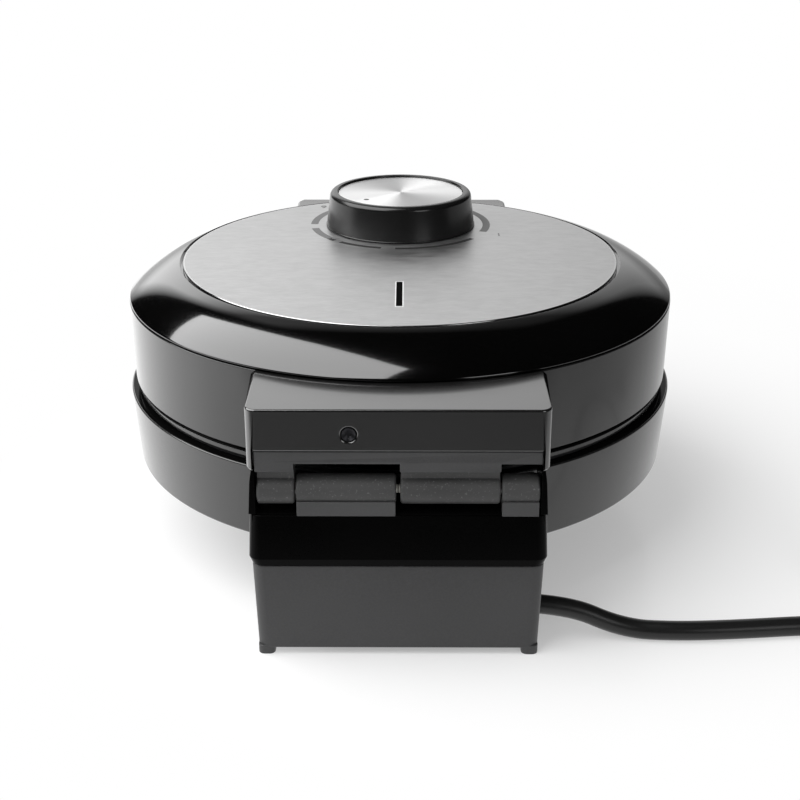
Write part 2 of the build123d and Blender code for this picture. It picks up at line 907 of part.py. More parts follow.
with BuildPart() as front_pads:
    with BuildSketch():
        with Locations(*leg_places):
            Circle(pad_radius)
    extrude(amount=pad_height)
    with BuildSketch(Plane.XY.offset(pad_height)):
        with Locations(*leg_places):
            Circle(pad_peg_radius)
    extrude(amount=pad_peg_height)
save(front_pads, "front_pads")

# Supply inside the stand: clamp over the cord, terminal block, cores and leads

clamp_bottom_z = cord_exit_z
clamp_top_z = clamp_bottom_z + clamp_height
clamp_places = [(saddle_x, cord_exit_y + side * saddle_post_y) for side in (-1, 1)]

with BuildPart() as cord_clamp:
    with BuildSketch(Plane.XY.offset(clamp_bottom_z)):
        with Locations((saddle_x, cord_exit_y)):
            RectangleRounded(2 * (saddle_half - 0.6), 2 * (saddle_post_y + 2.4), 1.5)
    extrude(amount=clamp_height)
    add(rod((-60.0, 0.0), cord_radius + fit, cord_exit_y, cord_exit_z), mode=Mode.SUBTRACT)
    with BuildSketch(Plane.XY.offset(clamp_bottom_z)):
        with Locations(*clamp_places):
            Circle(clamp_screw_radius + fit)
    extrude(amount=clamp_height, mode=Mode.SUBTRACT)
save(cord_clamp, "cord_clamp")

with BuildPart() as clamp_screws:
    with BuildSketch(Plane.XY.offset(clamp_top_z)):
        with Locations(*clamp_places):
            Circle(clamp_head_radius)
    extrude(amount=clamp_head_height)
    with BuildSketch(Plane.XY.offset(clamp_top_z)):
        with Locations(*clamp_places):
            Circle(clamp_screw_radius)
    extrude(amount=-clamp_screw_length)
save(clamp_screws, "clamp_screws")

terminal_x = (-terminal_width + 8.0, 8.0)
terminal_y = (cord_exit_y - terminal_depth / 2 + 0.1, cord_exit_y + terminal_depth / 2 + 0.1)
terminal_top_z = stand_floor_z + terminal_height
with BuildPart() as terminal_block:
    add(slab(terminal_x, terminal_y, (stand_floor_z + fit, terminal_top_z)))
    with BuildSketch(Plane.XY.offset(terminal_top_z)):
        for x in (-14.5, -8.5, -1.5, 4.5):
            with Locations((x, terminal_y[1] - 3.5)):
                Circle(terminal_screw_radius)
    extrude(amount=-4.0, mode=Mode.SUBTRACT)
save(terminal_block, "terminal_block")

core_places = [(-1.3, -0.9), (1.3, -0.9), (0.0, 1.3)]
with BuildPart() as supply_cores:
    for side, up in core_places:
        add(rod((cord_inner_x, terminal_x[0]), core_radius, cord_exit_y + side, cord_exit_z + up))
save(supply_cores, "supply_cores")

with BuildPart() as base_lead:
    add(
        wire_tube(
            [
                (-5.0, cord_exit_y + 0.1, terminal_top_z),
                (-5.0, cord_exit_y + 0.1, terminal_top_z + 12.0),
                (lead_offset, hinge_y, cavity_top_z - 4.5),
                (lead_offset, hinge_y, hinge_z),
                (part_gap / 2, hinge_y, hinge_z),
            ],
            (8.0, 6.0, lead_bend),
            lead_radius,
        )
    )
save(base_lead, "base_lead")

lead_turn_y = base_rim_radius - 8.7
with BuildPart() as element_leads:
    for start_x, end_x in ((-12.0, element_ends[0][0]), (4.5, element_ends[1][0])):
        end_y = element_end_y + terminal_length
        add(
            wire_tube(
                [
                    (start_x, terminal_y[0] + 3.0, terminal_top_z),
                    (start_x, terminal_y[0] + 3.0, element_lead_z),
                    (start_x, lead_turn_y, element_lead_z),
                    (end_x, lead_turn_y - 2.0, element_lead_z),
                    (end_x, end_y, element_ends[0][1]),
                ],
                (5.0, 4.0, 3.0),
                1.3,
            )
        )
save(element_leads, "element_leads")

# Lid body: the side wall with its inner web, and the hollow rear block

with BuildPart() as lid_solid:
    with BuildSketch(Plane.XZ):
        with BuildLine():
            Polyline(
                (0, lid_wall_bottom_z),
                (lid_bottom_radius, lid_wall_bottom_z),
                (seam_radius, seam_z),
                (0, seam_z),
                close=True,
            )
        make_face()
    revolve(axis=Axis.Z)

block_hole_x = 16.2
block_hole_z = seam_z - 8.9
block_hole_radius = 2.65
block_hole_depth = 1.4
block_inner_half = lid_block_half_width - lid_block_wall
lid_lead_z = seam_z - 6.7
handle_pilot_depth = 29.0

with BuildPart() as lid_body:
    extrude(
        to_extrude=rear_section(
            lid_block_bottom_z, lid_block_half_width, block_rear_y, block_front_y, lid_block_corner
        ),
        amount=seam_z - lid_block_bottom_z,
    )
    top_edges = lid_body.faces().sort_by(Axis.Z)[-1].edges()
    fillet(top_edges, radius=lid_block_edge)
    add(
        slab(
            (-block_inner_half, block_inner_half),
            (block_front_y - 1.0, block_rear_y - lid_block_wall),
            (lid_block_bottom_z - 1.0, seam_z - lid_block_wall),
        ),
        mode=Mode.SUBTRACT,
    )
    add(
        slab(
            (-block_inner_half, block_inner_half),
            (block_rear_y - lid_block_wall - 1.0, block_rear_y + 1.0),
            (lid_block_bottom_z - 1.0, block_window_z),
        ),
        mode=Mode.SUBTRACT,
    )
    add(lid_solid.part, mode=Mode.SUBTRACT)
    with BuildSketch(Plane.XZ):
        with BuildLine():
            Polyline(
                (lid_bottom_radius, lid_wall_bottom_z),
                (seam_radius, seam_z),
                (seam_radius - lid_wall, seam_z),
                (lid_wall_radius(web_top_z) - lid_wall, web_top_z),
                (web_inner_radius, web_top_z),
                (web_inner_radius, web_bottom_z),
                (lid_wall_radius(web_bottom_z) - lid_wall, web_bottom_z),
                (lid_bottom_radius - lid_wall, lid_wall_bottom_z),
                close=True,
            )
        make_face()
    revolve(axis=Axis.Z)
    with BuildSketch(Plane.XY.offset(web_bottom_z)):
        with Locations(*post_places):
            Circle(screw_radius + screw_hole_clearance)
    extrude(amount=web_thickness, mode=Mode.SUBTRACT)
    hole_plane = Plane(origin=(block_hole_x, block_rear_y, block_hole_z), z_dir=(0, 1, 0))
    with BuildSketch(hole_plane):
        Circle(block_hole_radius)
    extrude(amount=-block_hole_depth, mode=Mode.SUBTRACT)
    with BuildSketch(hole_plane):
        Circle(screw_radius + screw_hole_clearance)
    extrude(amount=-lid_block_wall - 1.0, mode=Mode.SUBTRACT)
    with BuildSketch(Plane(origin=(-lead_offset, seam_radius + 2.0, lid_lead_z), z_dir=(0, 1, 0))):
        Circle(lead_radius + 1.0)
    extrude(amount=-10.0, mode=Mode.SUBTRACT)
    with BuildSketch(Plane.XZ.offset(seam_radius)):
        with Locations((-handle_screw_x, handle_screw_z), (handle_screw_x, handle_screw_z)):
            Circle(screw_radius + screw_hole_clearance)
    extrude(amount=-14.0, mode=Mode.SUBTRACT)
save(lid_body, "lid_body")

with BuildPart() as upper_plate_screws:
    add(screws(Plane.XY.offset(web_top_z), post_places, lid_screw_length))
save(upper_plate_screws, "upper_plate_screws")

# Lid hinge frame: deck, band, tabs, necks and the lid's knuckles, held by one screw

frame_deck_z = (lid_block_bottom_z + 2.4, lid_block_bottom_z + 4.9)
frame_rear_y = block_rear_y - lid_block_wall - 0.2
frame_half = block_inner_half - 0.2
band_y = (hinge_y + 2.6, hinge_y + 5.4)
tab_bottom_z = lid_block_bottom_z - 1.7

with BuildPart() as lid_room:
    with BuildSketch(Plane.XZ):
        with BuildLine():
            Polyline(
                (0, lid_wall_bottom_z),
                (lid_bottom_radius + fit, lid_wall_bottom_z),
                (seam_radius + fit, seam_z),
                (0, seam_z),
                close=True,
            )
        make_face()
    revolve(axis=Axis.Z)

with BuildPart() as lid_hinge_frame:
    add(slab((-frame_half, frame_half), (block_front_y + 4.0, frame_rear_y), frame_deck_z))
    add(slab((-frame_half, frame_half), band_y, (frame_deck_z[0], block_window_z - 0.2)))
    for low, high in lid_knuckles:
        add(slab((low + 0.1, high + 0.1), band_y, (tab_bottom_z, frame_deck_z[0])))
        add(
            slab(
                (low + 0.2, high - 0.2),
                (hinge_y - barrel_radius + 0.05, hinge_y + 2.0),
                (hinge_z, frame_deck_z[0]),
            )
        )
        add(rod((low, high), barrel_radius))
    add(
        slab(
            (block_hole_x - 4.0, block_hole_x + 4.0),
            (hinge_y - 6.0, frame_rear_y),
            (frame_deck_z[1], block_hole_z + 4.0),
        )
    )
    add(lid_room.part, mode=Mode.SUBTRACT)
    for bore in pin_bores:
        add(rod(bore, pin_radius + running_fit), mode=Mode.SUBTRACT)
    add(rod((-passage_end, 0.0), lead_passage), mode=Mode.SUBTRACT)
    with BuildSketch(Plane.XY.offset(hinge_z)):
        with Locations((-lead_offset, hinge_y)):
            Circle(lead_passage)
    extrude(amount=frame_deck_z[1] - hinge_z + 1.0, mode=Mode.SUBTRACT)
    with BuildSketch(Plane(origin=(block_hole_x, frame_rear_y, block_hole_z), z_dir=(0, 1, 0))):
        Circle(screw_radius + pilot_clearance)
    extrude(amount=-8.0, mode=Mode.SUBTRACT)
save(lid_hinge_frame, "lid_hinge_frame")

block_seat_y = block_rear_y - block_hole_depth
block_seat_plane = Plane(origin=(block_hole_x, block_seat_y, block_hole_z), z_dir=(0, 1, 0))
with BuildPart() as block_screw:
    with BuildSketch(block_seat_plane):
        Circle(block_hole_radius - 0.2)
    extrude(amount=block_hole_depth - 0.6)
    with BuildSketch(block_seat_plane):
        Circle(screw_radius)
    extrude(amount=-8.0)
save(block_screw, "block_screw")

# Lid crown: the glossy ring, the groove and the deck that carries the steel plate

crown_start = Vector(seam_radius + crown_reach, crown_bottom_z)
crown_end = Vector(crown_inner_radius, crown_top_z)
crown_chord = (crown_end - crown_start).length
crown_arc_radius = crown_chord / (2 * sin(radians(crown_turn / 2)))
skirt_radius = seam_radius - lid_wall - fit
groove_floor_z = crown_top_z - groove_depth
deck_radius = steel_radius - 0.4

with BuildPart() as lid_crown:
    with BuildSketch(Plane.XZ) as crown_profile:
        with BuildLine():
            RadiusArc((crown_start.X, crown_start.Y), (crown_end.X, crown_end.Y), -crown_arc_radius)
            Polyline(
                (crown_end.X, crown_end.Y),
                (crown_inner_radius, groove_floor_z),
                (deck_radius, groove_floor_z),
                (deck_radius, deck_top_z),
                (0, deck_top_z),
                (0, deck_bottom_z),
                (deck_radius - 4.0, deck_bottom_z),
                (deck_radius - 2.0, groove_floor_z - crown_thickness),
                (crown_inner_radius + 1.5, groove_floor_z - crown_thickness),
                (skirt_radius - crown_thickness, crown_bottom_z - 0.6),
                (skirt_radius - crown_thickness, crown_bottom_z - crown_skirt_depth),
                (skirt_radius, crown_bottom_z - crown_skirt_depth),
                (skirt_radius, crown_bottom_z),
                (crown_start.X, crown_start.Y),
            )
        make_face()
        edge_corner = crown_profile.vertices().sort_by(Axis.X)[-1]
        fillet(edge_corner, radius=crown_edge_round)
    revolve(axis=Axis.Z)
    with BuildSketch(Plane.XY.offset(deck_bottom_z)):
        with Locations((0, window_y)):
            Rectangle(window_width, window_length)
        with Locations((0, knob_y)):
            Circle(deck_hole_radius)
    extrude(amount=deck_thickness, mode=Mode.SUBTRACT)
    board_post_y = [window_y - board_length / 2 + 3.0, window_y + board_length / 2 - 3.0]
    with BuildSketch(Plane.XY.offset(deck_bottom_z)):
        with Locations(*[(0, y) for y in board_post_y]):
            Circle(2.5)
    extrude(amount=-board_drop)
    with BuildSketch(Plane.XY.offset(deck_bottom_z - board_drop)):
        with Locations(*[(0, y) for y in board_post_y]):
            Circle(1.1)
    extrude(amount=-board_thickness - 0.5)
save(lid_crown, "lid_crown")

# Steel plate with the knob's hole and the lamp window

with BuildPart() as top_plate:
    with BuildSketch(Plane.XY.offset(steel_bottom_z)):
        Circle(steel_radius)
        with Locations((0, knob_y)):
            Circle(deck_hole_radius, mode=Mode.SUBTRACT)
        with Locations((0, window_y)):
            Rectangle(window_width, window_length, mode=Mode.SUBTRACT)
    extrude(amount=steel_thickness)
    face_circles = top_plate.faces().sort_by(Axis.Z)[-1].edges().filter_by(GeomType.CIRCLE)
    chamfer(face_circles.sort_by(SortBy.RADIUS)[-1], length=steel_edge)
save(top_plate, "top_plate")

with BuildPart() as lamp_lens:
    with BuildSketch(Plane.XY.offset(deck_bottom_z - fit)):
        with Locations((0, window_y)):
            Rectangle(window_width - 2 * fit, window_length - 2 * fit)
    extrude(amount=steel_top_z - 0.15 - deck_bottom_z + fit)
    with BuildSketch(Plane.XY.offset(deck_bottom_z - fit)):
        with Locations((0, window_y)):
            RectangleRounded(window_width + 2 * lens_lip, window_length + lens_lip, 1.0)
    extrude(amount=-lens_lip_thickness)
save(lamp_lens, "lamp_lens")

board_top_z = deck_bottom_z - board_drop
with BuildPart() as lamp_board:
    with BuildSketch(Plane.XY.offset(board_top_z)):
        with Locations((0, window_y)):
            Rectangle(board_width, board_length)
        with Locations(*[(0, y) for y in board_post_y]):
            Circle(1.1 + fit, mode=Mode.SUBTRACT)
    extrude(amount=-board_thickness)
save(lamp_board, "lamp_board")

with BuildPart() as pilot_lamps:
    for y in (window_y - 8.0, window_y + 8.0):
        lamp_start = (0, y - lamp_length / 2, board_top_z + lamp_radius + fit)
        with BuildSketch(Plane(origin=lamp_start, z_dir=(0, 1, 0))):
            Circle(lamp_radius)
        extrude(amount=lamp_length)
    tips = pilot_lamps.edges().filter_by(GeomType.CIRCLE).sort_by(Axis.Y)
    fillet(tips, radius=0.9)
save(pilot_lamps, "pilot_lamps")

# Front handle: a hollow grip with an open underside, screwed on from inside the wall

handle_arch_y = handle_root_y - 19.0
handle_belly_y = handle_root_y - 22.0
handle_belly_z = lid_wall_bottom_z + handle_belly_rise
handle_inner_y = handle_tip_y + handle_wall + 0.4
handle_inner_top_z = handle_tip_z - handle_wall - 0.4
handle_open_z = handle_root_z - 6.0
handle_depth = 60.0
with BuildPart() as lid_handle:
    with BuildSketch(Plane.YZ):
        with BuildLine():
            tip_low = (handle_tip_y + 1.0, handle_tip_z - handle_lip_height)
            ThreePointArc(
                (handle_root_y, seam_z - 0.3),
                (handle_arch_y, seam_z + 0.2),
                (handle_tip_y, handle_tip_z),
            )
            Line((handle_tip_y, handle_tip_z), tip_low)
            ThreePointArc(tip_low, (handle_belly_y, handle_belly_z), (handle_root_y, handle_root_z))
            Line((handle_root_y, handle_root_z), (handle_root_y, seam_z - 0.3))
        make_face()
    extrude(amount=handle_half_width, both=True)
    side_edges = lid_handle.edges().filter_by(Axis.X).group_by(Axis.Y)[0]
    fillet(side_edges, radius=handle_rim_round)
    with BuildSketch(Plane.XY):
        with Locations((0, handle_tip_y + handle_depth / 2)):
            RectangleRounded(2 * handle_half_width, handle_depth, handle_corner)
    extrude(amount=2 * handle_tip_z, mode=Mode.INTERSECT)
    with BuildSketch(Plane.YZ):
        with BuildLine():
            ThreePointArc(
                (handle_root_y + 8.0, seam_z - 0.4 - handle_wall),
                (handle_arch_y, seam_z + 0.2 - handle_wall),
                (handle_inner_y, handle_inner_top_z),
            )
            Polyline(
                (handle_inner_y, handle_inner_top_z),
                (handle_inner_y + 0.8, handle_open_z),
                (handle_root_y + 8.0, handle_open_z),
                (handle_root_y + 8.0, seam_z - 0.4 - handle_wall),
            )
        make_face()
    extrude(amount=handle_half_width - handle_wall, both=True, mode=Mode.SUBTRACT)
    for side in (-1, 1):
        x = side * handle_screw_x
        add(
            slab(
                (x - handle_block_half, x + handle_block_half),
                (handle_root_y - 24.0, handle_root_y),
                (handle_screw_z - handle_block_half, seam_z - 1.0),
            )
        )
    add(
        slab(
            (-handle_half_width + handle_wall, handle_half_width - handle_wall),
            (handle_root_y - 4.0 - handle_wall, handle_root_y),
            (handle_root_z + 8.0, seam_z - 1.0),
        )
    )
    add(lid_room.part, mode=Mode.SUBTRACT)
    with BuildSketch(Plane.XZ.offset(-handle_root_y - 8.0)):
        with Locations((-handle_screw_x, handle_screw_z), (handle_screw_x, handle_screw_z)):
            Circle(screw_radius + pilot_clearance)
    extrude(amount=handle_pilot_depth, mode=Mode.SUBTRACT)
save(lid_handle, "lid_handle")

handle_seat_x = handle_screw_x + screw_head_radius
handle_seat_y = -sqrt((lid_wall_radius(handle_screw_z) - lid_wall) ** 2 - handle_seat_x**2)
with BuildPart() as handle_screws:
    seat_plane = Plane(origin=(0, handle_seat_y, handle_screw_z), x_dir=(1, 0, 0), z_dir=(0, 1, 0))
    add(screws(seat_plane, [(-handle_screw_x, 0), (handle_screw_x, 0)], handle_screw_length))
save(handle_screws, "handle_screws")

# Thermostat under the knob, thermal fuse beside it, and the lead from the hinge

control_seat_z = web_bottom_z
control_top_z = control_seat_z + control_height
bushing_top_z = control_top_z + bushing_height
shaft_bottom_z = control_seat_z + 4.0
with BuildPart() as thermostat:
    with BuildSketch(knob_level(control_seat_z)):
        RectangleRounded(control_width, control_depth, 3.0)
    extrude(amount=control_top_z - control_seat_z)
    with BuildSketch(knob_level(control_seat_z)):
        RectangleRounded(control_width + 2 * control_ear, control_depth / 2, 3.0)
        ear_x = (control_width + control_ear) / 2 + 1.0
        with Locations((-ear_x, 0), (ear_x, 0)):
            Circle(control_hole_radius, mode=Mode.SUBTRACT)
    extrude(amount=control_ear_thickness)
    with BuildSketch(knob_level(control_top_z)):
        Circle(bushing_radius)
    extrude(amount=bushing_top_z - control_top_z)
    with BuildSketch(knob_level(shaft_bottom_z - 0.2)):
        Circle(shaft_radius + running_fit)
    extrude(amount=bushing_top_z, mode=Mode.SUBTRACT)
save(thermostat, "thermostat")

with BuildPart() as thermal_fuse:
    fuse_middle_z = control_seat_z + fuse_radius + fit
    with BuildSketch(Plane(origin=(fuse_x, -fuse_length / 2, fuse_middle_z), z_dir=(0, 1, 0))):
        Circle(fuse_radius)
    extrude(amount=fuse_length)
    add(
        slab(
            (fuse_x - fuse_strap_half, fuse_x + fuse_strap_half),
            (-fuse_length, fuse_length),
            (control_seat_z, control_seat_z + fuse_strap_thickness),
        )
    )
save(thermal_fuse, "thermal_fuse")

with BuildPart() as lid_lead:
    add(
        wire_tube(
            [
                (-part_gap / 2, hinge_y, hinge_z),
                (-lead_offset, hinge_y, hinge_z),
                (-lead_offset, hinge_y, lid_lead_z),
                (-lead_offset, knob_y + control_depth / 2, lid_lead_z),
            ],
            (lead_bend, 8.0),
            lead_radius,
        )
    )
save(lid_lead, "lid_lead")

# Knob: a hollow cap with a flared foot, a hub for the shaft and a seat for the disc

disc_top_z = knob_top_z - disc_sink
disc_seat_z = disc_top_z - disc_thickness
hub_bottom_z = knob_bottom_z + 2.0
shaft_top_z = disc_seat_z - hub_cover
foot_top_z = knob_bottom_z + knob_foot_height

with BuildPart() as knob:
    with BuildSketch(Plane.XZ.offset(knob_offset)) as knob_profile:
        with BuildLine():
            Line((disc_radius + fit, disc_seat_z), (disc_radius + fit, knob_top_z))
            Line((disc_radius + fit, knob_top_z), (knob_top_radius - knob_rim_round, knob_top_z))
            rim_arc = RadiusArc(
                (knob_top_radius - knob_rim_round, knob_top_z),
                (knob_top_radius, knob_top_z - knob_rim_round),
                knob_rim_round,
            )
            Line(rim_arc @ 1, (knob_bottom_radius - 0.2, foot_top_z + 1.4))
            foot_arc = RadiusArc(
                (knob_bottom_radius - 0.2, foot_top_z + 1.4), (knob_foot_radius, foot_top_z), -1.8
            )
            Polyline(
                foot_arc @ 1,
                (knob_foot_radius, knob_bottom_z),
                (knob_bottom_radius - knob_wall, knob_bottom_z),
                (knob_top_radius - knob_wall, disc_seat_z - knob_top_thickness),
                (hub_radius, disc_seat_z - knob_top_thickness),
                (hub_radius, hub_bottom_z),
                (0, hub_bottom_z),
                (0, disc_seat_z),
                (disc_radius + fit, disc_seat_z),
            )
        make_face()
    revolve(axis=Axis((0, knob_y, 0), (0, 0, 1)))
    with BuildSketch(knob_level(hub_bottom_z)):
        Circle(shaft_radius + running_fit)
        with Locations((0, shaft_radius + running_fit)):
            Rectangle(2 * shaft_radius, 2 * shaft_flat, mode=Mode.SUBTRACT)
    extrude(amount=shaft_top_z - hub_bottom_z + fit, mode=Mode.SUBTRACT)
save(knob, "knob")

with BuildPart() as knob_disc:
    with BuildSketch(knob_level(disc_seat_z)):
        Circle(disc_radius)
    extrude(amount=disc_thickness)
    disc_rim = knob_disc.faces().sort_by(Axis.Z)[-1].edges()
    chamfer(disc_rim, length=0.3)
save(knob_disc, "knob_disc")

with BuildPart() as thermostat_shaft:
    with BuildSketch(knob_level(shaft_bottom_z)):
        Circle(shaft_radius)
    extrude(amount=shaft_top_z - shaft_bottom_z)
    with BuildSketch(knob_level(hub_bottom_z - 1.0)):
        with Locations((0, shaft_radius)):
            Rectangle(2 * shaft_radius + 1.0, 2 * (shaft_flat + running_fit))
    extrude(amount=shaft_top_z, mode=Mode.SUBTRACT)
save(thermostat_shaft, "thermostat_shaft")

# Power cord: out of the stand, down to the table and away to the coil

coil_start_x = coil_centre_x + 2 * cord_radius
coil_start_y = 117.3
coil_z = cord_radius + coil_lift
cord_route = [
    (cord_inner_x, cord_exit_y, cord_exit_z),
    (-58.5, cord_exit_y, cord_exit_z),
    (-80.5, 119.6, cord_radius),
    (-100.0, 121.3, cord_radius),
    (-122.0, 119.9, cord_radius),
    (-147.0, 117.2, cord_radius),
    (-175.0, coil_start_y, coil_z),
    (coil_start_x, coil_start_y, coil_z),
]


def route_radii(route):
    """Arc radii at the inner points: 0.45 of the shorter run over the half turn's tangent."""
    points = [Vector(*p) for p in route]
    radii = []
    for a, b, c in zip(points, points[1:], points[2:]):
        shorter = min((b - a).length, (c - b).length)
        half_turn = radians((b - a).get_angle(c - b)) / 2
        radii.append(0.45 * shorter / tan(half_turn))
    return radii


cord_radii = route_radii(cord_route)
with BuildPart() as power_cord:
    with BuildLine() as cord_path:
        FilletPolyline(*cord_route, radius=cord_radii)
    with BuildSketch(Plane(origin=cord_path.line @ 0, z_dir=cord_path.line % 0)):
        Circle(cord_radius)
    sweep()
cord_length = cord_path.wire().length
print("cord radii", [round(r, 1) for r in cord_radii])
print("cord length", round(cord_length, 1))
print("cord volume share", round(power_cord.part.volume / (pi * cord_radius**2 * cord_length), 5))
save(power_cord, "power_cord")

# Coil of the put-away length: in on the lower layer, up in half a turn, out on the upper one

coil_centre_y = coil_start_y - coil_radius
climb_turns = 0.5
coil_turns = 2 * coil_layer_turns + climb_turns


def coil_point(turns):
    """A point of the coil's centre line after some turns, starting at its far edge."""
    angle = pi / 2 + 2 * pi * turns
    if turns <= coil_layer_turns:
        radius = coil_radius - coil_pitch * turns
        height = coil_z
    elif turns <= coil_layer_turns + climb_turns:
        share = (turns - coil_layer_turns) / climb_turns
        radius = coil_radius - coil_pitch * coil_layer_turns
        height = coil_z + coil_layer_step * share * share * (3 - 2 * share)
    else:
        radius = coil_radius - coil_pitch * (coil_turns - turns)
        height = coil_z + coil_layer_step
    return Vector(
        coil_centre_x + radius * cos(angle), coil_centre_y + radius * sin(angle), height
    )


def coil_heading(turns):
    """The direction of the coil's centre line after some turns."""
    step = 0.02
    return (coil_point(turns + step) - coil_point(turns - step)).normalized()


def biarc(start, heading, end, end_heading):
    """The middle point and middle heading of two arcs that join two points smoothly."""
    across = end - start
    both = heading + end_heading
    a = 2.0 * (1.0 - heading.dot(end_heading))
    b = 2.0 * across.dot(both)
    c = -across.dot(across)
    reach = (-b + sqrt(b * b - 4 * a * c)) / (2 * a) if a > 1e-9 else -c / b
    one = start + heading * reach
    two = end - end_heading * reach
    return (one + two) * 0.5, (two - one).normalized()


coil_end = coil_point(coil_turns) + Vector(0, 0, coil_tail_lift)
plug_reach = coil_tail + plug_shoulder
plug_tilt = degrees(
    atan2(plug_body_radius, plug_reach) - asin(coil_end.Z / sqrt(plug_reach**2 + plug_body_radius**2))
)
plug_heading = Vector(0, -cos(radians(plug_tilt)), sin(radians(plug_tilt)))
coil_steps = round(coil_turns / 0.25)
coil_knots = [(coil_point(0.0), Vector(-1, 0, 0))]
coil_knots += [
    (coil_point(0.25 * i), coil_heading(0.25 * i)) for i in range(1, coil_steps)
]
coil_knots += [(coil_end, plug_heading)]
plug_origin = coil_end + plug_heading * coil_tail

with BuildPart() as cord_coil:
    with BuildLine() as coil_path:
        Line(coil_knots[0][0] + Vector(2 * cord_radius, 0, 0), coil_knots[0][0])
        for (start, heading), (end, end_heading) in zip(coil_knots, coil_knots[1:]):
            middle, middle_heading = biarc(start, heading, end, end_heading)
            TangentArc(start, middle, tangent=heading)
            TangentArc(middle, end, tangent=middle_heading)
        Line(coil_end, plug_origin)
    with BuildSketch(Plane(origin=coil_path.line @ 0, z_dir=coil_path.line % 0)):
        Circle(cord_radius)
    sweep()
coil_wire = coil_path.wire()
coil_length = coil_wire.length
coil_samples = [
    coil_wire.position_at(i * coil_length / 400, position_mode=PositionMode.LENGTH) for i in range(401)
]
near = 6 * cord_radius
least_gap = min(
    (a - b).length - 2 * cord_radius
    for i, a in enumerate(coil_samples)
    for j, b in enumerate(coil_samples)
    if (j - i) * coil_length / 400 > near
)
print("coil length", round(coil_length, 1), "least gap", round(least_gap, 2))
print("coil volume share", round(cord_coil.part.volume / (pi * cord_radius**2 * coil_length), 5))
save(cord_coil, "cord_coil")

# Tie round both strands of the coil

tie_turns = (tie_angle + 270.0) / 360.0
tie_strands = [coil_point(tie_turns), coil_point(tie_turns + 1.0)]
tie_direction = Vector(cos(radians(tie_angle)), sin(radians(tie_angle)))


def tie_band(radius):
    """The outline round two strands, seen along the cord."""
    places = [
        (
            (p.X - coil_centre_x) * tie_direction.X + (p.Y - coil_centre_y) * tie_direction.Y,
            p.Z,
        )
        for p in tie_strands
    ]
    tie_plane = Plane(
        origin=(coil_centre_x, coil_centre_y, 0),
        x_dir=tie_direction,
        z_dir=tie_direction.cross(Vector(0, 0, 1)),
    )
    with BuildSketch(tie_plane) as band:
        with Locations(*places):
            Circle(radius)
        make_hull()
    return band.sketch


with BuildPart() as coil_tie:
    extrude(to_extrude=tie_band(cord_radius + coil_lift), amount=tie_width / 2, both=True)
    extrude(
        to_extrude=tie_band(cord_radius + coil_lift - tie_thickness),
        amount=tie_width / 2,
        both=True,
        mode=Mode.SUBTRACT,
    )
save(coil_tie, "coil_tie")

# Mains plug: round earthed body that rests on its shoulder, with two pins

face_plane = Plane(origin=plug_origin + plug_heading * plug_length, x_dir=(1, 0, 0), z_dir=plug_heading)
with BuildPart() as plug_body:
    side_plane = Plane(origin=plug_origin, x_dir=(1, 0, 0), z_dir=Vector(1, 0, 0).cross(plug_heading))
    with BuildSketch(side_plane):
        with BuildLine():
            Polyline((0, 0), (plug_tail_radius, 0), (plug_tail_radius + 1.0, 13.0))
            Spline(
                (plug_tail_radius + 1.0, 13.0),
                (plug_tail_radius + 5.5, 19.0),
                (plug_body_radius - 1.0, 26.5),
                (plug_body_radius, plug_shoulder),
                tangents=[(0.1, 1.0), (0.0, 1.0)],
            )
            Polyline(
                (plug_body_radius, plug_shoulder),
                (plug_body_radius, plug_length - 1.5),
                (plug_body_radius - 1.5, plug_length),
                (0, plug_length),
                (0, 0),
            )
        make_face()
    revolve(axis=Axis(plug_origin, plug_heading))
    with BuildSketch(face_plane):
        with Locations((0, 10.5)):
            Circle(2.6)
    extrude(amount=-12.0, mode=Mode.SUBTRACT)
save(plug_body, "plug_body")

with BuildPart() as plug_pins:
    with BuildSketch(face_plane):
        with Locations((-plug_pin_spacing / 2, 0), (plug_pin_spacing / 2, 0)):
            Circle(plug_pin_radius)
    extrude(amount=plug_pin_length)
    pin_tips = plug_pins.edges().filter_by(GeomType.CIRCLE).sort_by(Axis.Y)[:2]
    chamfer(pin_tips, length=0.8)
save(plug_pins, "plug_pins")
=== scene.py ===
"""Dresses the waffle maker's CAD frame: fine shapes, finishes, cord, floor, lights and camera.

Lengths are millimetres in the CAD frame while a shape is being made, and metres once it is
an object in the scene. The hinge is at +Y, towards the camera, and the handle at -Y.
"""

import json
import logging
import math
from collections.abc import Callable
from dataclasses import dataclass
from enum import Enum
from functools import cache

import bmesh
import bpy
from mathutils import Matrix, Vector


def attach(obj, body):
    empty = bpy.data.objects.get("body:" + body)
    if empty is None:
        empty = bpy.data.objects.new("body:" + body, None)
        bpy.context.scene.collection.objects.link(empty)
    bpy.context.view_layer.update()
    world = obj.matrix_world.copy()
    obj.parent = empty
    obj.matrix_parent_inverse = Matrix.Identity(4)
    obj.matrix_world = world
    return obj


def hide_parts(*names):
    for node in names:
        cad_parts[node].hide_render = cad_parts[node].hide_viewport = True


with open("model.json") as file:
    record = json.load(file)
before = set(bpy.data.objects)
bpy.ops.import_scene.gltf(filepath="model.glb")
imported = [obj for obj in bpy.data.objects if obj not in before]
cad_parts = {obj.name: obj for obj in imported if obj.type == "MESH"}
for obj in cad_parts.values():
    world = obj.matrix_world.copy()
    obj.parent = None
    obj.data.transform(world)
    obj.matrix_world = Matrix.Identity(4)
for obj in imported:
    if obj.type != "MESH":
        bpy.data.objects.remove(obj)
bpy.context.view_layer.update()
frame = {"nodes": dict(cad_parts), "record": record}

LOG = logging.getLogger("waffle_maker")
MM = 0.001

Point = tuple[float, float, float]
Span = tuple[float, float]
Colour = tuple[float, float, float]
Outline = list[tuple[float, ...]]

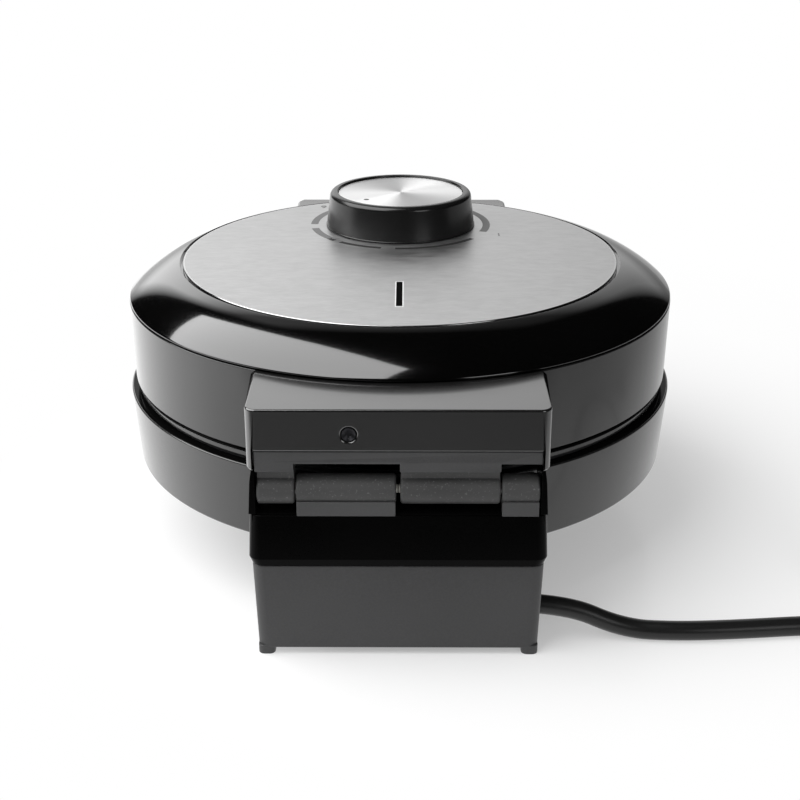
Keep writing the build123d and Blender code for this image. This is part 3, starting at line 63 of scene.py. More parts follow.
LARGE_STEPS = 288  # facets round the lid and the tub
KNOB_STEPS = 240
SMALL_STEPS = 48  # facets round a bore or a post
DOUBLES = 1e-4  # distance within which a spun shape's vertices are one
SEAM_DOUBLES = 1e-3  # the same along a cut, or in a mesh from the CAD
ROD_STEPS = 72
CORNER_SEGMENTS = 8  # segments of a block's upright corner
LARGE_ARC = 8.0  # radius above which an arc gets finer facets
FACET, FINE_FACET = math.radians(12), math.radians(4)  # turn of one facet of an arc
SHARP = math.radians(34.0)  # angle from which an edge counts as sharp
SOFT_EDGE = 0.2  # width of the bevel on most moulded edges
POST_EDGE = 0.4
SCREW_BORE = 1.9
PAST = 1.0  # how far a cutting shape reaches past what it cuts
PRINT = 0.03  # thickness of print and of the painted highlight round the window
SUNK = 0.05  # how far print is sunk into its face
KNOB_Y = -45.5  # the knob's axis
GLOSS, SATIN = "black_gloss_plastic", "black_satin_plastic"  # slots of the lid and the base


class Body(Enum):
    """Bodies of the frame that pieces ride on."""

    BASE = "base"
    LID = "lid"
    KNOB = "knob"


def polar(radius: float, angle: float) -> Span:
    """A place in plan, at an angle in radians."""
    return radius * math.cos(angle), radius * math.sin(angle)


def add_object(name: str, data: bpy.types.ID) -> bpy.types.Object:
    """Put a new object into the scene."""
    obj = bpy.data.objects.new(name, data)
    bpy.context.scene.collection.objects.link(obj)
    return obj


# Shapes


@dataclass(frozen=True)
class Corner:
    """A corner of a turned profile.

    Args:
        r: distance from the axis.
        z: height along the axis.
        round: radius that the corner is rounded to.
    """

    r: float
    z: float
    round: float = 0.0


@dataclass(frozen=True)
class Section:
    """A rounded rectangle at a height.

    Args:
        z: its height.
        half: half its width along X.
        front: its limit towards -Y.
        rear: its limit towards +Y.
    """

    z: float
    half: float
    front: float
    rear: float

    @property
    def middle(self) -> Vector:
        """Its centre."""
        return Vector((0, (self.front + self.rear) / 2, self.z))

    @property
    def depth(self) -> float:
        """Its length along Y."""
        return self.rear - self.front

    def inset(self, by: float, rise: float) -> "Section":
        """The rectangle inside it by a wall, lifted a little."""
        return Section(self.z + rise, self.half - by, self.front + by, self.rear - by)


class Shape:
    """A closed mesh in the making, in millimetres."""

    def __init__(self, name: str) -> None:
        """Start with an empty mesh."""
        self.name = name
        self.mesh = bmesh.new()

    @classmethod
    def turned(
        cls, name: str, outline: Outline, steps: int = LARGE_STEPS, closed: bool = True
    ) -> "Shape":
        """Spin a profile round the Z axis.

        Args:
            name: name of the piece.
            outline: the values of its Corners, in order. An open one starts and ends on
                the axis.
            steps: facets round the axis.
            closed: whether the last corner joins the first.

        Returns:
            The turned shape.
        """
        shape = cls(name)
        bm = shape.mesh
        corners = [Corner(*values) for values in outline]
        verts = [bm.verts.new((c.r, 0.0, c.z)) for c in corners]
        for pair in zip(verts, verts[1:] + verts[: int(closed)]):
            bm.edges.new(pair)
        for i, corner in enumerate(corners):
            if not corner.round:
                continue
            before, after = corners[i - 1], corners[(i + 1) % len(corners)]
            come = Vector((corner.r - before.r, corner.z - before.z))
            leave = Vector((after.r - corner.r, after.z - corner.z))
            turn = come.angle(leave)
            facet = FINE_FACET if corner.round > LARGE_ARC else FACET
            width = corner.round * math.tan(turn / 2)
            shape.bevel([verts[i]], width, max(3, round(turn / facet)), "VERTICES")
        return shape.spin(bm.verts[:] + bm.edges[:], math.tau, steps)

    @classmethod
    def box(cls, name: str, x: Span, y: Span, z: Span, edge: float = 0.0) -> "Shape":
        """A block between two limits along each axis, with rounded edges."""
        shape = cls(name)
        bmesh.ops.create_cube(shape.mesh, size=1.0)
        shape.scale(tuple(high - low for low, high in (x, y, z)))
        shape.move(tuple((low + high) / 2 for low, high in (x, y, z)))
        return shape.bevel(shape.mesh.edges[:], edge) if edge else shape

    @classmethod
    def lofted(cls, name: str, sections: list[Section], corner: float) -> "Shape":
        """A block that runs through rounded rectangles at several heights."""
        shape = cls(name)
        bm = shape.mesh
        first = sections[0]
        bmesh.ops.create_grid(bm, x_segments=1, y_segments=1, size=0.5)
        shape.scale((2 * first.half, first.depth, 1)).move(first.middle)
        shape.bevel(bm.verts[:], corner, CORNER_SEGMENTS, "VERTICES")
        bm.faces.ensure_lookup_table()
        face = bm.faces[0]
        for low, high in zip(sections, sections[1:]):
            grown = bmesh.ops.extrude_face_region(bm, geom=[face])["geom"]
            face = next(g for g in grown if isinstance(g, bmesh.types.BMFace))
            wider, deeper = high.half / low.half, high.depth / low.depth
            for vert in face.verts:
                offset = vert.co - low.middle
                vert.co = high.middle + Vector((offset.x * wider, offset.y * deeper, 0))
        return shape

    @classmethod
    def rod(cls, name: str, x: Span, y: float, z: float, radius: float, edge: float) -> "Shape":
        """A round bar along X with rounded ends."""
        ends = [(0, x[0]), (radius, x[0], edge), (radius, x[1], edge), (0, x[1])]
        shape = cls.turned(name, ends, ROD_STEPS, closed=False)
        return shape.turn(math.radians(90), "Y").move((0, y, z))

    @classmethod
    def bar(
        cls, name: str, place: Span, z: Span, radius: float, steps: int = 64, edge: float = 0.0
    ) -> "Shape":
        """A round bar along Z, whose upper rim may be rounded."""
        ends = [(0, z[0]), (radius, z[0]), (radius, z[1], edge), (0, z[1])]
        return cls.turned(name, ends, steps, closed=False).move((*place, 0))

    @classmethod
    def ring(cls, name: str, r: Span, z: Span, low: float = 0.0, high: float = 0.0) -> "Shape":
        """A flat ring, whose lower and upper outer rims may be rounded."""
        return cls.turned(name, [(r[0], z[0]), (r[1], z[0], low), (r[1], z[1], high), (r[0], z[1])])

    @classmethod
    def of_node(cls, node: str) -> "Shape":
        """A CAD node's own solid, merged so that its edges can be rounded."""
        shape = cls(f"{node}_rounded")
        bm = shape.mesh
        bm.from_mesh(frame["nodes"][node].data)
        shape.scale((1 / MM, 1 / MM, 1 / MM)).merge(SEAM_DOUBLES)
        flat = math.radians(0.5)
        bmesh.ops.dissolve_limit(bm, angle_limit=flat, verts=bm.verts[:], edges=bm.edges[:])
        return shape

    def turn(self, angle: float, axis: str) -> "Shape":
        """Rotate the shape about an axis through the origin."""
        matrix = Matrix.Rotation(angle, 3, axis)
        bmesh.ops.rotate(self.mesh, cent=(0, 0, 0), matrix=matrix, verts=self.mesh.verts[:])
        return self

    def move(self, by: Point | Vector) -> "Shape":
        """Shift the shape."""
        bmesh.ops.translate(self.mesh, vec=by, verts=self.mesh.verts[:])
        return self

    def scale(self, by: Point) -> "Shape":
        """Stretch the shape along each axis."""
        bmesh.ops.scale(self.mesh, vec=by, verts=self.mesh.verts[:])
        return self

    def merge(self, within: float = DOUBLES) -> "Shape":
        """Make vertices that lie together one."""
        bmesh.ops.remove_doubles(self.mesh, verts=self.mesh.verts[:], dist=within)
        return self

    def spin(self, geom: list, angle: float, steps: int) -> "Shape":
        """Sweep some of the mesh round the Z axis, in a full turn or less."""
        origin, full = (0, 0, 0), angle == math.tau
        bmesh.ops.spin(
            self.mesh,
            geom=geom,
            cent=origin,
            axis=(0, 0, 1),
            dvec=origin,
            angle=angle,
            steps=steps,
            use_merge=full,
        )
        return self.merge()

    def bevel(self, geom: list, width: float, segments: int = 3, affect: str = "EDGES") -> "Shape":
        """Round some edges, or some vertices of an outline."""
        bmesh.ops.bevel(
            self.mesh,
            geom=geom,
            offset=width,
            offset_type="OFFSET",
            affect=affect,
            segments=segments,
            profile=0.5,
            material=-1,
            clamp_overlap=True,
        )
        return self

    def edges_at(self, z: float) -> list[bmesh.types.BMEdge]:
        """The edges that lie at a height."""
        return [e for e in self.mesh.edges if all(abs(v.co.z - z) < DOUBLES for v in e.verts)]

    def edges_along(self, axis: str) -> list[bmesh.types.BMEdge]:
        """The edges that cover more than a millimetre of an axis."""
        edges = self.mesh.edges
        return [e for e in edges if abs(getattr(e.verts[0].co - e.verts[1].co, axis)) > 1]

    def add(self, *others: "Shape") -> "Shape":
        """Take in other closed shapes as they are."""
        for other in others:
            spare = bpy.data.meshes.new(other.name)
            other.mesh.to_mesh(spare)
            self.mesh.from_mesh(spare)
            bpy.data.meshes.remove(spare)
            other.mesh.free()
        return self

    def post(
        self, place: Span, radius: float, z: Span, head: float, seat: float, start: float
    ) -> "Shape":
        """Cut a well for a screw's head and stand a hollow post round it.

        Args:
            place: the screw's axis in plan.
            radius: the post's outer radius.
            z: the post's two ends.
            head: the well's radius.
            seat: height at which the screw's head stops.
            start: height below the shape from which the well is cut.

        Returns:
            The shape itself.
        """
        self.cut(Shape.bar("well", place, (start, seat), head, SMALL_STEPS))
        hollow = [
            (head, z[0]), (radius, z[0]), (radius, z[1], POST_EDGE), (SCREW_BORE, z[1]),
            (SCREW_BORE, seat), (head, seat),
        ]
        return self.add(Shape.turned("post", hollow, SMALL_STEPS).move((*place, 0)))

    def _object(self) -> bpy.types.Object:
        """The mesh as an object, with its normals outwards."""
        bmesh.ops.recalc_face_normals(self.mesh, faces=self.mesh.faces[:])
        mesh = bpy.data.meshes.new(self.name)
        self.mesh.to_mesh(mesh)
        return add_object(self.name, mesh)

    def _boolean(self, operation: str, others: tuple["Shape", ...]) -> "Shape":
        """Combine the shape with others, one after the other."""
        for other in others:
            target, tool = self._object(), other._object()
            modifier = target.modifiers.new("carve", "BOOLEAN")
            modifier.operation = operation
            modifier.object = tool
            modifier.solver = "EXACT"
            graph = bpy.context.evaluated_depsgraph_get()
            carved = bpy.data.meshes.new_from_object(target.evaluated_get(graph))
            self.mesh.free()
            other.mesh.free()
            self.mesh = bmesh.new()
            self.mesh.from_mesh(carved)
            spare = [target.data, tool.data, carved]
            for obj in (target, tool):
                bpy.data.objects.remove(obj)
            for mesh in spare:
                bpy.data.meshes.remove(mesh)
            self.merge(SEAM_DOUBLES)
        return self

    def cut(self, *others: "Shape") -> "Shape":
        """Carve other shapes out of this one."""
        return self._boolean("DIFFERENCE", others)

    def join(self, *others: "Shape") -> "Shape":
        """Fuse other shapes with this one."""
        return self._boolean("UNION", others)

    def finish(
        self, body: Body, slot: str, finish: str, *nodes: str, edge: float = 0.0
    ) -> bpy.types.Object:
        """Turn the shape into a piece of the scene, in metres.

        Args:
            body: the body that it rides on.
            slot: the record's material slot; not used.
            finish: the name of its finish.
            nodes: the CAD nodes that it stands for.
            edge: width of a bevel on its sharp edges, in millimetres.

        Returns:
            The finished object.
        """
        self.scale((MM, MM, MM))
        obj = self._object()
        self.mesh.free()
        obj.data.polygons.foreach_set("use_smooth", [True] * len(obj.data.polygons))
        obj.data.set_sharp_from_angle(angle=SHARP)
        obj.data.materials.append(material(finish))
        if edge:
            rounding = obj.modifiers.new("edges", "BEVEL")
            rounding.width = edge * MM
            rounding.segments = 2
            rounding.limit_method = "ANGLE"
            rounding.angle_limit = SHARP
            rounding.use_clamp_overlap = False
        shading = obj.modifiers.new("shading", "WEIGHTED_NORMAL")
        shading.keep_sharp = True
        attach(obj, body.value)
        if nodes:
            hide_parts(*nodes)
        LOG.info("made %s", self.name)
        return obj


# Shader graphs


def operator(operation: str, swapped: bool = False) -> Callable:
    """A method of Value that adds a Math node.

    Args:
        operation: the node's operation.
        swapped: whether the terms change places, as in a reflected operator.

    Returns:
        The method.
    """

    def method(self: "Value", other: "Value | float") -> "Value":
        """The node's result."""
        return self.graph.maths(operation, *((other, self) if swapped else (self, other)))

    return method


class Value:
    """A socket of a shader graph that takes part in arithmetic."""

    __add__ = operator("ADD")
    __radd__ = operator("ADD", swapped=True)
    __sub__ = operator("SUBTRACT")
    __rsub__ = operator("SUBTRACT", swapped=True)
    __mul__ = operator("MULTIPLY")
    __rmul__ = operator("MULTIPLY", swapped=True)
    __truediv__ = operator("DIVIDE")
    __rtruediv__ = operator("DIVIDE", swapped=True)

    def __init__(self, graph: "Graph", socket: bpy.types.NodeSocket) -> None:
        """Keep the socket with its graph."""
        self.graph = graph
        self.socket = socket


class Graph:
    """The node graph of a material or a world."""

    def __init__(self, owner: bpy.types.Material | bpy.types.World) -> None:
        """Start with an empty graph."""
        owner.use_nodes = True
        self.owner = owner
        self.tree = owner.node_tree
        self.tree.nodes.clear()

    def node(self, kind: str, inputs: dict | None = None, **settings: object) -> bpy.types.Node:
        """Add a node: its settings are set first, then its inputs.

        Args:
            kind: the node's type name.
            inputs: socket name or index to a value, a colour or a Value to link.
            settings: attributes of the node.

        Returns:
            The node.
        """
        made = self.tree.nodes.new(kind)
        for name, value in settings.items():
            setattr(made, name, value)
        for key, value in (inputs or {}).items():
            self.feed(made.inputs[key], value)
        return made

    def feed(self, socket: bpy.types.NodeSocket, value: object) -> None:
        """Set a socket, or link it to a Value."""
        if isinstance(value, Value):
            self.tree.links.new(value.socket, socket)
        elif isinstance(value, tuple) and len(value) == 3 and len(socket.default_value) == 4:
            socket.default_value = (*value, 1.0)
        else:
            socket.default_value = value

    def out(self, node: bpy.types.Node, key: str | int = 0) -> Value:
        """One output of a node."""
        return Value(self, node.outputs[key])

    def end(self, kind: str, shader: bpy.types.Node) -> None:
        """Link a shader to an output node of the given type."""
        self.node(kind, {"Surface": self.out(shader)})

    def maths(self, operation: str, *terms: Value | float, clamp: bool = False) -> Value:
        """A Math node."""
        inputs = dict(enumerate(terms))
        return self.out(self.node("ShaderNodeMath", inputs, operation=operation, use_clamp=clamp))

    def place(self) -> Value:
        """Object coordinates, in metres."""
        return self.out(self.node("ShaderNodeTexCoord"), "Object")

    def stretched(self, *scale: float) -> Value:
        """Object coordinates multiplied along each axis."""
        inputs = {0: self.place(), 1: scale}
        return self.out(self.node("ShaderNodeVectorMath", inputs, operation="MULTIPLY"))

    def length(self, vector: Value) -> Value:
        """The length of a vector."""
        return self.out(self.node("ShaderNodeVectorMath", {0: vector}, operation="LENGTH"), "Value")

    def axes(self, vector: Value) -> list[Value]:
        """The three parts of a vector."""
        parts = self.node("ShaderNodeSeparateXYZ", {0: vector})
        return [self.out(parts, axis) for axis in "XYZ"]

    def noise(self, scale: float, detail: float = 2.0, place: Value | None = None) -> Value:
        """A noise in the object's space, from 0 to 1."""
        inputs = {"Vector": place or self.place(), "Scale": scale, "Detail": detail}
        return self.out(self.node("ShaderNodeTexNoise", inputs))

    def cells(self, scale: float) -> Value:
        """Distance to the nearest of a scatter of points."""
        inputs = {"Vector": self.place(), "Scale": scale}
        return self.out(self.node("ShaderNodeTexVoronoi", inputs), "Distance")

    def between(
        self, value: Value, low: float, high: float, to_low: float = 0.0, to_high: float = 1.0
    ) -> Value:
        """Carry a value from one range into another, clamped."""
        inputs = {0: value, 1: low, 2: high, 3: to_low, 4: to_high}
        return self.out(self.node("ShaderNodeMapRange", inputs, clamp=True))

    def spread(self, noise: Value, low: float = 0.0, high: float = 1.0) -> Value:
        """Carry the range that a noise mostly covers into another."""
        return self.between(noise, 0.3, 0.7, low, high)

    def blend(self, factor: Value | float, low: Value | tuple, high: Value | tuple) -> Value:
        """A colour between two colours."""
        inputs = {"Factor": factor, 6: low, 7: high}
        made = self.node("ShaderNodeMix", inputs, data_type="RGBA", clamp_factor=True)
        return self.out(made, 2)

    def grey(self, value: Value) -> Value:
        """A value as a grey colour."""
        return self.out(self.node("ShaderNodeCombineColor", {0: value, 1: value, 2: value}))

    def bump(self, height: Value, strength: float, relief: float) -> Value:
        """A normal from a height whose full depth is in millimetres."""
        inputs = {"Height": height, "Strength": strength, "Distance": relief * MM}
        return self.out(self.node("ShaderNodeBump", inputs))

    def painted_edge_highlight(self) -> Value:
        """1 along convex edges, 0 on flat faces: the mask of a painted edge highlight."""
        pointy = self.out(self.node("ShaderNodeNewGeometry"), "Pointiness")
        return self.between(pointy, 0.52, 0.6)

    def rays(self) -> tuple[Value, Value]:
        """Whether a ray is the camera's own, and whether it comes off or through a gloss."""
        path = self.node("ShaderNodeLightPath")
        glossy, through = (self.out(path, f"Is {kind} Ray") for kind in ("Glossy", "Transmission"))
        return self.out(path, "Is Camera Ray"), self.maths("ADD", glossy, through, clamp=True)

    def surface(self, inputs: dict) -> bpy.types.Material:
        """Finish a material with one principled shader."""
        self.end("ShaderNodeOutputMaterial", self.node("ShaderNodeBsdfPrincipled", inputs))
        return self.owner


# Finishes


def grey(level: float) -> Colour:
    """A grey colour."""
    return level, level, level


@dataclass(frozen=True)
class Finish:
    """What every finish has.

    Args:
        name: its name, which is the record's slot for a CAD node's finish.
        colour: base colour.
        roughness: mean roughness.
    """

    name: str
    colour: Colour
    roughness: float

    def tint(self, by: float, lift: float = 0.0) -> Colour:
        """The base colour made darker or lighter."""
        return tuple(min(1.0, c * by + lift) for c in self.colour)

    def rough(self, graph: Graph, noise: Value, less: float, more: float) -> Value:
        """The roughness, varied by a noise."""
        return graph.spread(noise, self.roughness - less, self.roughness + more)

    def graph(self) -> Graph:
        """An empty graph in a new material."""
        return Graph(bpy.data.materials.new(self.name))


@dataclass(frozen=True)
class Plastic(Finish):
    """Moulded plastic or rubber.

    Args:
        specular: specular level.
        grain: size of the surface grain in millimetres.
        relief: depth of the grain in millimetres.
        uneven: how much the roughness varies.
        coat: weight of a clear gloss layer.
        streak: stretch of the grain along X, 1 for none.
    """

    specular: float = 0.5
    grain: float = 0.6
    relief: float = 0.004
    uneven: float = 0.06
    coat: float = 0.0
    streak: float = 1.0

    def build(self) -> bpy.types.Material:
        """Make the material."""
        graph = self.graph()
        stretch = graph.stretched(1 / self.streak, 1.0, 1.0)
        fine = graph.noise(1 / (self.grain * MM), 3.0, stretch)
        broad = graph.noise(22.0, 3.0)
        dust = graph.between(graph.cells(260.0), 0.0, 0.09, 1.0, 0.0)
        mottled = graph.spread(fine * 0.5 + broad * 0.5)
        tone = graph.blend(mottled, self.tint(0.8), self.tint(1.35, 0.0005))
        # Painted highlight: convex edges are lightened in colour.
        tone = graph.blend(graph.painted_edge_highlight() * 0.35, tone, self.tint(1.8, 0.004))
        rough = graph.spread(broad * 0.6 + fine * 0.4, -self.uneven, self.uneven)
        rough = graph.maths("ADD", rough + self.roughness, dust * 0.04, clamp=True)
        return graph.surface(
            {
                "Base Color": tone,
                "Roughness": rough,
                "Specular IOR Level": self.specular,
                "Coat Weight": self.coat,
                "Coat Roughness": 0.04,
                "Normal": graph.bump(fine, 0.6, self.relief),
            }
        )


@dataclass(frozen=True)
class BrushedMetal(Finish):
    """Sheet metal brushed along X.

    Args:
        line: width of a brush line in millimetres.
        length: length of a brush line in millimetres.
        relief: depth of the lines in millimetres.
    """

    line: float
    length: float
    relief: float = 0.006

    def build(self) -> bpy.types.Material:
        """Make the material."""
        graph = self.graph()
        lines = graph.stretched(1 / (self.length * MM), 1 / (self.line * MM), 40.0)
        hair = graph.noise(1.0, 3.0, lines)
        wisp = graph.noise(1.0, 4.0, graph.stretched(60.0, 700.0, 40.0))
        cloud = graph.noise(1.0, 5.0, graph.stretched(130.0, 260.0, 40.0))
        mixed = graph.between(hair * 0.35 + wisp * 0.15 + cloud * 0.5, 0.34, 0.66)
        return graph.surface(
            {
                "Base Color": graph.blend(mixed, self.tint(0.89), self.tint(1.1)),
                "Metallic": 1.0,
                "Roughness": self.rough(graph, wisp * 0.6 + cloud * 0.4, 0.05, 0.06),
                "Normal": graph.bump(hair * 0.7 + wisp * 0.3, 0.5, self.relief),
            }
        )


@dataclass(frozen=True)
class SpunMetal(Finish):
    """Metal turned on a lathe, with fine rings round the Z axis.

    Args:
        ring: spacing of the rings in millimetres.
    """

    ring: float = 0.22

    def build(self) -> bpy.types.Material:
        """Make the material."""
        graph = self.graph()
        reach = graph.length(graph.stretched(1.0, 1.0, 0.0)) * (1 / (self.ring * MM))
        rings = graph.noise(1.0, 3.0, graph.out(graph.node("ShaderNodeCombineXYZ", {0: reach})))
        cloud = graph.noise(40.0)
        return graph.surface(
            {
                "Base Color": graph.blend(graph.spread(rings), self.tint(0.9), self.colour),
                "Metallic": 1.0,
                "Roughness": self.rough(graph, cloud * 0.4 + rings * 0.6, 0.04, 0.04),
                "Anisotropic": 0.85,
                "Anisotropic Rotation": 0.25,
                "Normal": graph.bump(rings, 0.25, 0.002),
            }
        )


@dataclass(frozen=True)
class CastMetal(Finish):
    """Cast, drawn, plated or coated metal with a fine speckle.

    Args:
        metallic: 1 for bare metal, 0 for a painted or coated one.
        speckle: size of the speckle in millimetres.
        fleck: colour of the flecks.
        amount: how strong the flecks are.
        relief: depth of the speckle in millimetres.
    """

    metallic: float = 1.0
    speckle: float = 0.7
    fleck: Colour = grey(0.5)
    amount: float = 0.25
    relief: float = 0.01

    def build(self) -> bpy.types.Material:
        """Make the material."""
        graph = self.graph()
        grain = graph.noise(1 / (self.speckle * MM), 3.0)
        broad = graph.noise(30.0, 3.0)
        flecks = graph.between(grain, 0.6, 0.75, 0.0, self.amount)
        tone = graph.blend(graph.between(broad, 0.35, 0.65), self.tint(0.82), self.colour)
        tone = graph.blend(flecks, tone, self.fleck)
        # Painted highlight: convex edges are lightened in colour.
        tone = graph.blend(graph.painted_edge_highlight() * 0.3, tone, self.tint(1.5, 0.03))
        return graph.surface(
            {
                "Base Color": tone,
                "Metallic": self.metallic,
                "Roughness": self.rough(graph, grain * 0.5 + broad * 0.5, 0.07, 0.07),
                "Normal": graph.bump(grain, 0.5, self.relief),
            }
        )


@dataclass(frozen=True)
class Glass(Finish):
    """Clear or tinted lamp glass."""

    def build(self) -> bpy.types.Material:
        """Make the material."""
        graph = self.graph()
        broad = graph.noise(90.0)
        return graph.surface(
            {
                "Base Color": graph.blend(broad, self.tint(0.85), self.colour),
                "Roughness": self.rough(graph, broad, 0.0, 0.05),
                "Transmission Weight": 0.9,
                "IOR": 1.5,
                "Normal": graph.bump(broad, 0.1, 0.005),
            }
        )


FINISHES = (
    # Slots of the record
    Plastic(SATIN, (0.016, 0.016, 0.017), 0.36, grain=0.5),
    Plastic(GLOSS, grey(0.01), 0.16, grain=1.2, relief=0.0008, uneven=0.03, coat=0.6),
    Plastic("knob_plastic", grey(0.006), 0.22, 0.6, grain=0.5, relief=0.0012),
    CastMetal("plate_coating", (0.035, 0.035, 0.037), 0.38, 0.0, fleck=grey(0.2), amount=0.35),
    BrushedMetal("brushed_steel", grey(0.62), 0.4, line=0.5, length=3.0),
    SpunMetal("spun_aluminium", grey(0.95), 0.38),
    CastMetal("bright_steel", grey(0.62), 0.3, speckle=0.3, relief=0.003),
    CastMetal("element_tube", (0.2, 0.19, 0.18), 0.45),
    CastMetal("blackened_steel", (0.05, 0.05, 0.055), 0.4),
    Plastic("pad_rubber", grey(0.02), 0.7, grain=0.9, relief=0.02),
    Plastic("white_nylon", (0.72, 0.71, 0.67), 0.45, grain=0.8),
    Plastic("lead_sleeve", (0.6, 0.58, 0.52), 0.7, grain=0.5, relief=0.03),
    Plastic("core_insulation", (0.35, 0.3, 0.12), 0.45),
    Plastic("cord_rubber", grey(0.008), 0.34, grain=1.1, relief=0.006),
    Plastic("tie_plastic", grey(0.01), 0.5),
    CastMetal("plated_brass", (0.72, 0.7, 0.66), 0.22, speckle=0.3, relief=0.002),
    Plastic("brown_phenolic", (0.09, 0.045, 0.02), 0.5),
    Plastic("lens_dark", grey(0.003), 0.12, 0.0, grain=2.0, relief=0.0004, uneven=0.01),
    Plastic("board_laminate", (0.05, 0.16, 0.06), 0.5),
    Glass("lamp_glass", (0.85, 0.35, 0.2), 0.05),
    # Finishes of single pieces
    Plastic(
        "crown_plastic", grey(0.0006), 0.1, 0.6, grain=1.4, relief=0.0012, uneven=0.02, coat=1.0
    ),
    CastMetal("steel_edge", grey(0.6), 0.16, speckle=0.3, relief=0.001),
    Plastic("tub_plastic", grey(0.012), 0.24, grain=0.6, relief=0.0015, coat=0.7),
    Plastic("block_plastic", grey(0.007), 0.2, 1.0, 0.4, 0.006, uneven=0.04, coat=1.0, streak=8.0),
    # Near-black and almost without gloss: black plastic with painted shade, for pieces that read
    # black in shade.
    Plastic("black_plastic_painted_shade", grey(0.0008), 0.12, 0.04, grain=0.8, relief=0.001),
    Plastic("handle_plastic", grey(0.02), 0.2, 1.0, grain=0.8, relief=0.001, coat=1.0),
    # White of the strip round the lamp window: a painted highlight.
    Plastic("painted_window_highlight", grey(0.8), 0.4),
    Plastic("stand_plastic", (0.035, 0.035, 0.036), 0.45, grain=0.7),
    Plastic("insert_plastic", (0.045, 0.045, 0.046), 0.42, grain=0.5),
    CastMetal("knuckle_plastic", grey(0.06), 0.6, 0.0, 0.8, grey(0.17), amount=0.7, relief=0.12),
    CastMetal("dial_ink", grey(0.12), 0.5, metallic=0.0),
    # Near-black for the dial's front arcs: a painted reflection of the knob.
    CastMetal("dial_painted_reflection", grey(0.01), 0.5, metallic=0.0, fleck=grey(0.02)),
)


@cache
def material(name: str) -> bpy.types.Material:
    """The material of a finish, built once."""
    return next(finish for finish in FINISHES if finish.name == name).build()


def slot_of(node: str) -> str:
    """The record's material slot of a CAD node."""
    parts = frame["record"]["subparts"]
    return next(part["material_slot"] for part in parts if part["node"] == node)


def dress_nodes() -> None:
    """Give every CAD node its finish."""
    for name, node in frame["nodes"].items():
        node.data.materials.clear()
        node.data.materials.append(material(slot_of(name)))


# Lid: crown, steel plate, wall and block


@dataclass(frozen=True)
class LidHoles:
    """The knob's hole and the lamp window, through the steel plate and the deck."""

    radius: float = 5.5
    x: Span = (-1.2, 1.2)
    y: Span = (37.6, 66.7)

    def window(self, z: Span) -> Shape:
        """What the window takes out between two heights."""
        return Shape.box("slot", self.x, self.y, z)

    def knob(self, z: Span) -> Shape:
        """What the knob's hole takes out between two heights."""
        return Shape.bar("hole", (0, KNOB_Y), z, self.radius)


@dataclass
class Crown:
    """The glossy ring and the deck under the steel plate."""

    bottom: float = 94.7
    reach: float = 110.6
    inner: float = 89.2
    top: float = 106.9
    turn: float = 28.0
    edge: float = 0.6
    fine_edge: float = 0.15
    deck: float = 87.9
    slope: float = 2.0
    land: float = 1.5
    step: float = 0.6
    groove: float = 105.3
    deck_top: float = 106.3
    deck_bottom: float = 103.9
    skirt: float = 107.4
    skirt_bottom: float = 89.7
    thickness: float = 2.4
    slack: float = 0.995
    through: Span = (100.0, 110.0)

    def arc_corner(self) -> tuple[float, float, float]:
        """The corner that, once rounded, gives the crown's arc, with a little slack."""
        start = Vector((self.reach, self.bottom))
        chord = Vector((self.inner, self.top)) - start
        half = math.radians(self.turn / 2)
        radius = chord.length / (2 * math.sin(half))
        outward = Vector((chord.y, -chord.x)).normalized()
        corner = start + chord / 2 + outward * (chord.length / 2 * math.tan(half))
        return corner.x, corner.y, radius * self.slack

    def build(self) -> None:
        """Make the crown."""
        under = self.groove - self.thickness
        skirt_inner = self.skirt - self.thickness
        profile = [
            (0, self.deck_bottom), (self.deck - 2 * self.slope, self.deck_bottom),
            (self.deck - self.slope, under),
            (self.inner + self.land, under), (skirt_inner, self.bottom - self.step),
            (skirt_inner, self.skirt_bottom), (self.skirt, self.skirt_bottom),
            (self.skirt, self.bottom), (self.reach, self.bottom, self.edge), self.arc_corner(),
            (self.inner, self.top, self.fine_edge), (self.inner, self.groove),
            (self.deck, self.groove), (self.deck, self.deck_top, self.fine_edge),
            (0, self.deck_top),
        ]
        ring = Shape.turned("crown_ring", profile, closed=False)
        holes = LidHoles()
        ring.cut(holes.window(self.through), holes.knob(self.through))
        ring.finish(Body.LID, GLOSS, "crown_plastic", "lid_crown")


@dataclass
class SteelDisc:
    """The brushed steel plate with its bright rim, and a white strip round the lamp window that
    paints the highlight on the window's edge.
    """

    radius: float = 88.1
    rim: float = 0.8
    rim_overlap: float = 0.01
    rim_round: float = 0.45
    bottom: float = 106.3
    top: float = 107.1
    lip: float = 0.35
    far_lip: float = 1.6

    def build(self) -> None:
        """Make the plate."""
        z = (self.bottom, self.top)
        inner = self.radius - self.rim
        disc = Shape.bar("steel_disc", (0, 0), z, inner, LARGE_STEPS)
        rim = (inner - self.rim_overlap, self.radius)
        edge = Shape.ring("steel_edge", rim, z, 0.1, self.rim_round)
        edge.finish(Body.LID, "brushed_steel", "steel_edge", "top_plate")
        through = (self.bottom - 2, self.top + 2)
        holes = LidHoles()
        disc.cut(holes.window(through), holes.knob(through))
        disc.finish(Body.LID, "brushed_steel", "brushed_steel", "top_plate")
        (left, right), (low, high), lip = holes.x, holes.y, self.lip
        x, y = (left - lip, right + lip), (low - lip, high + lip * self.far_lip)
        # Painted highlight: a white strip round the window stands in for light caught by its edge.
        line = Shape.box("window_frame", x, y, (self.top - SUNK, self.top + PRINT))
        line.cut(holes.window(through))
        line.finish(Body.LID, "brushed_steel", "painted_window_highlight")


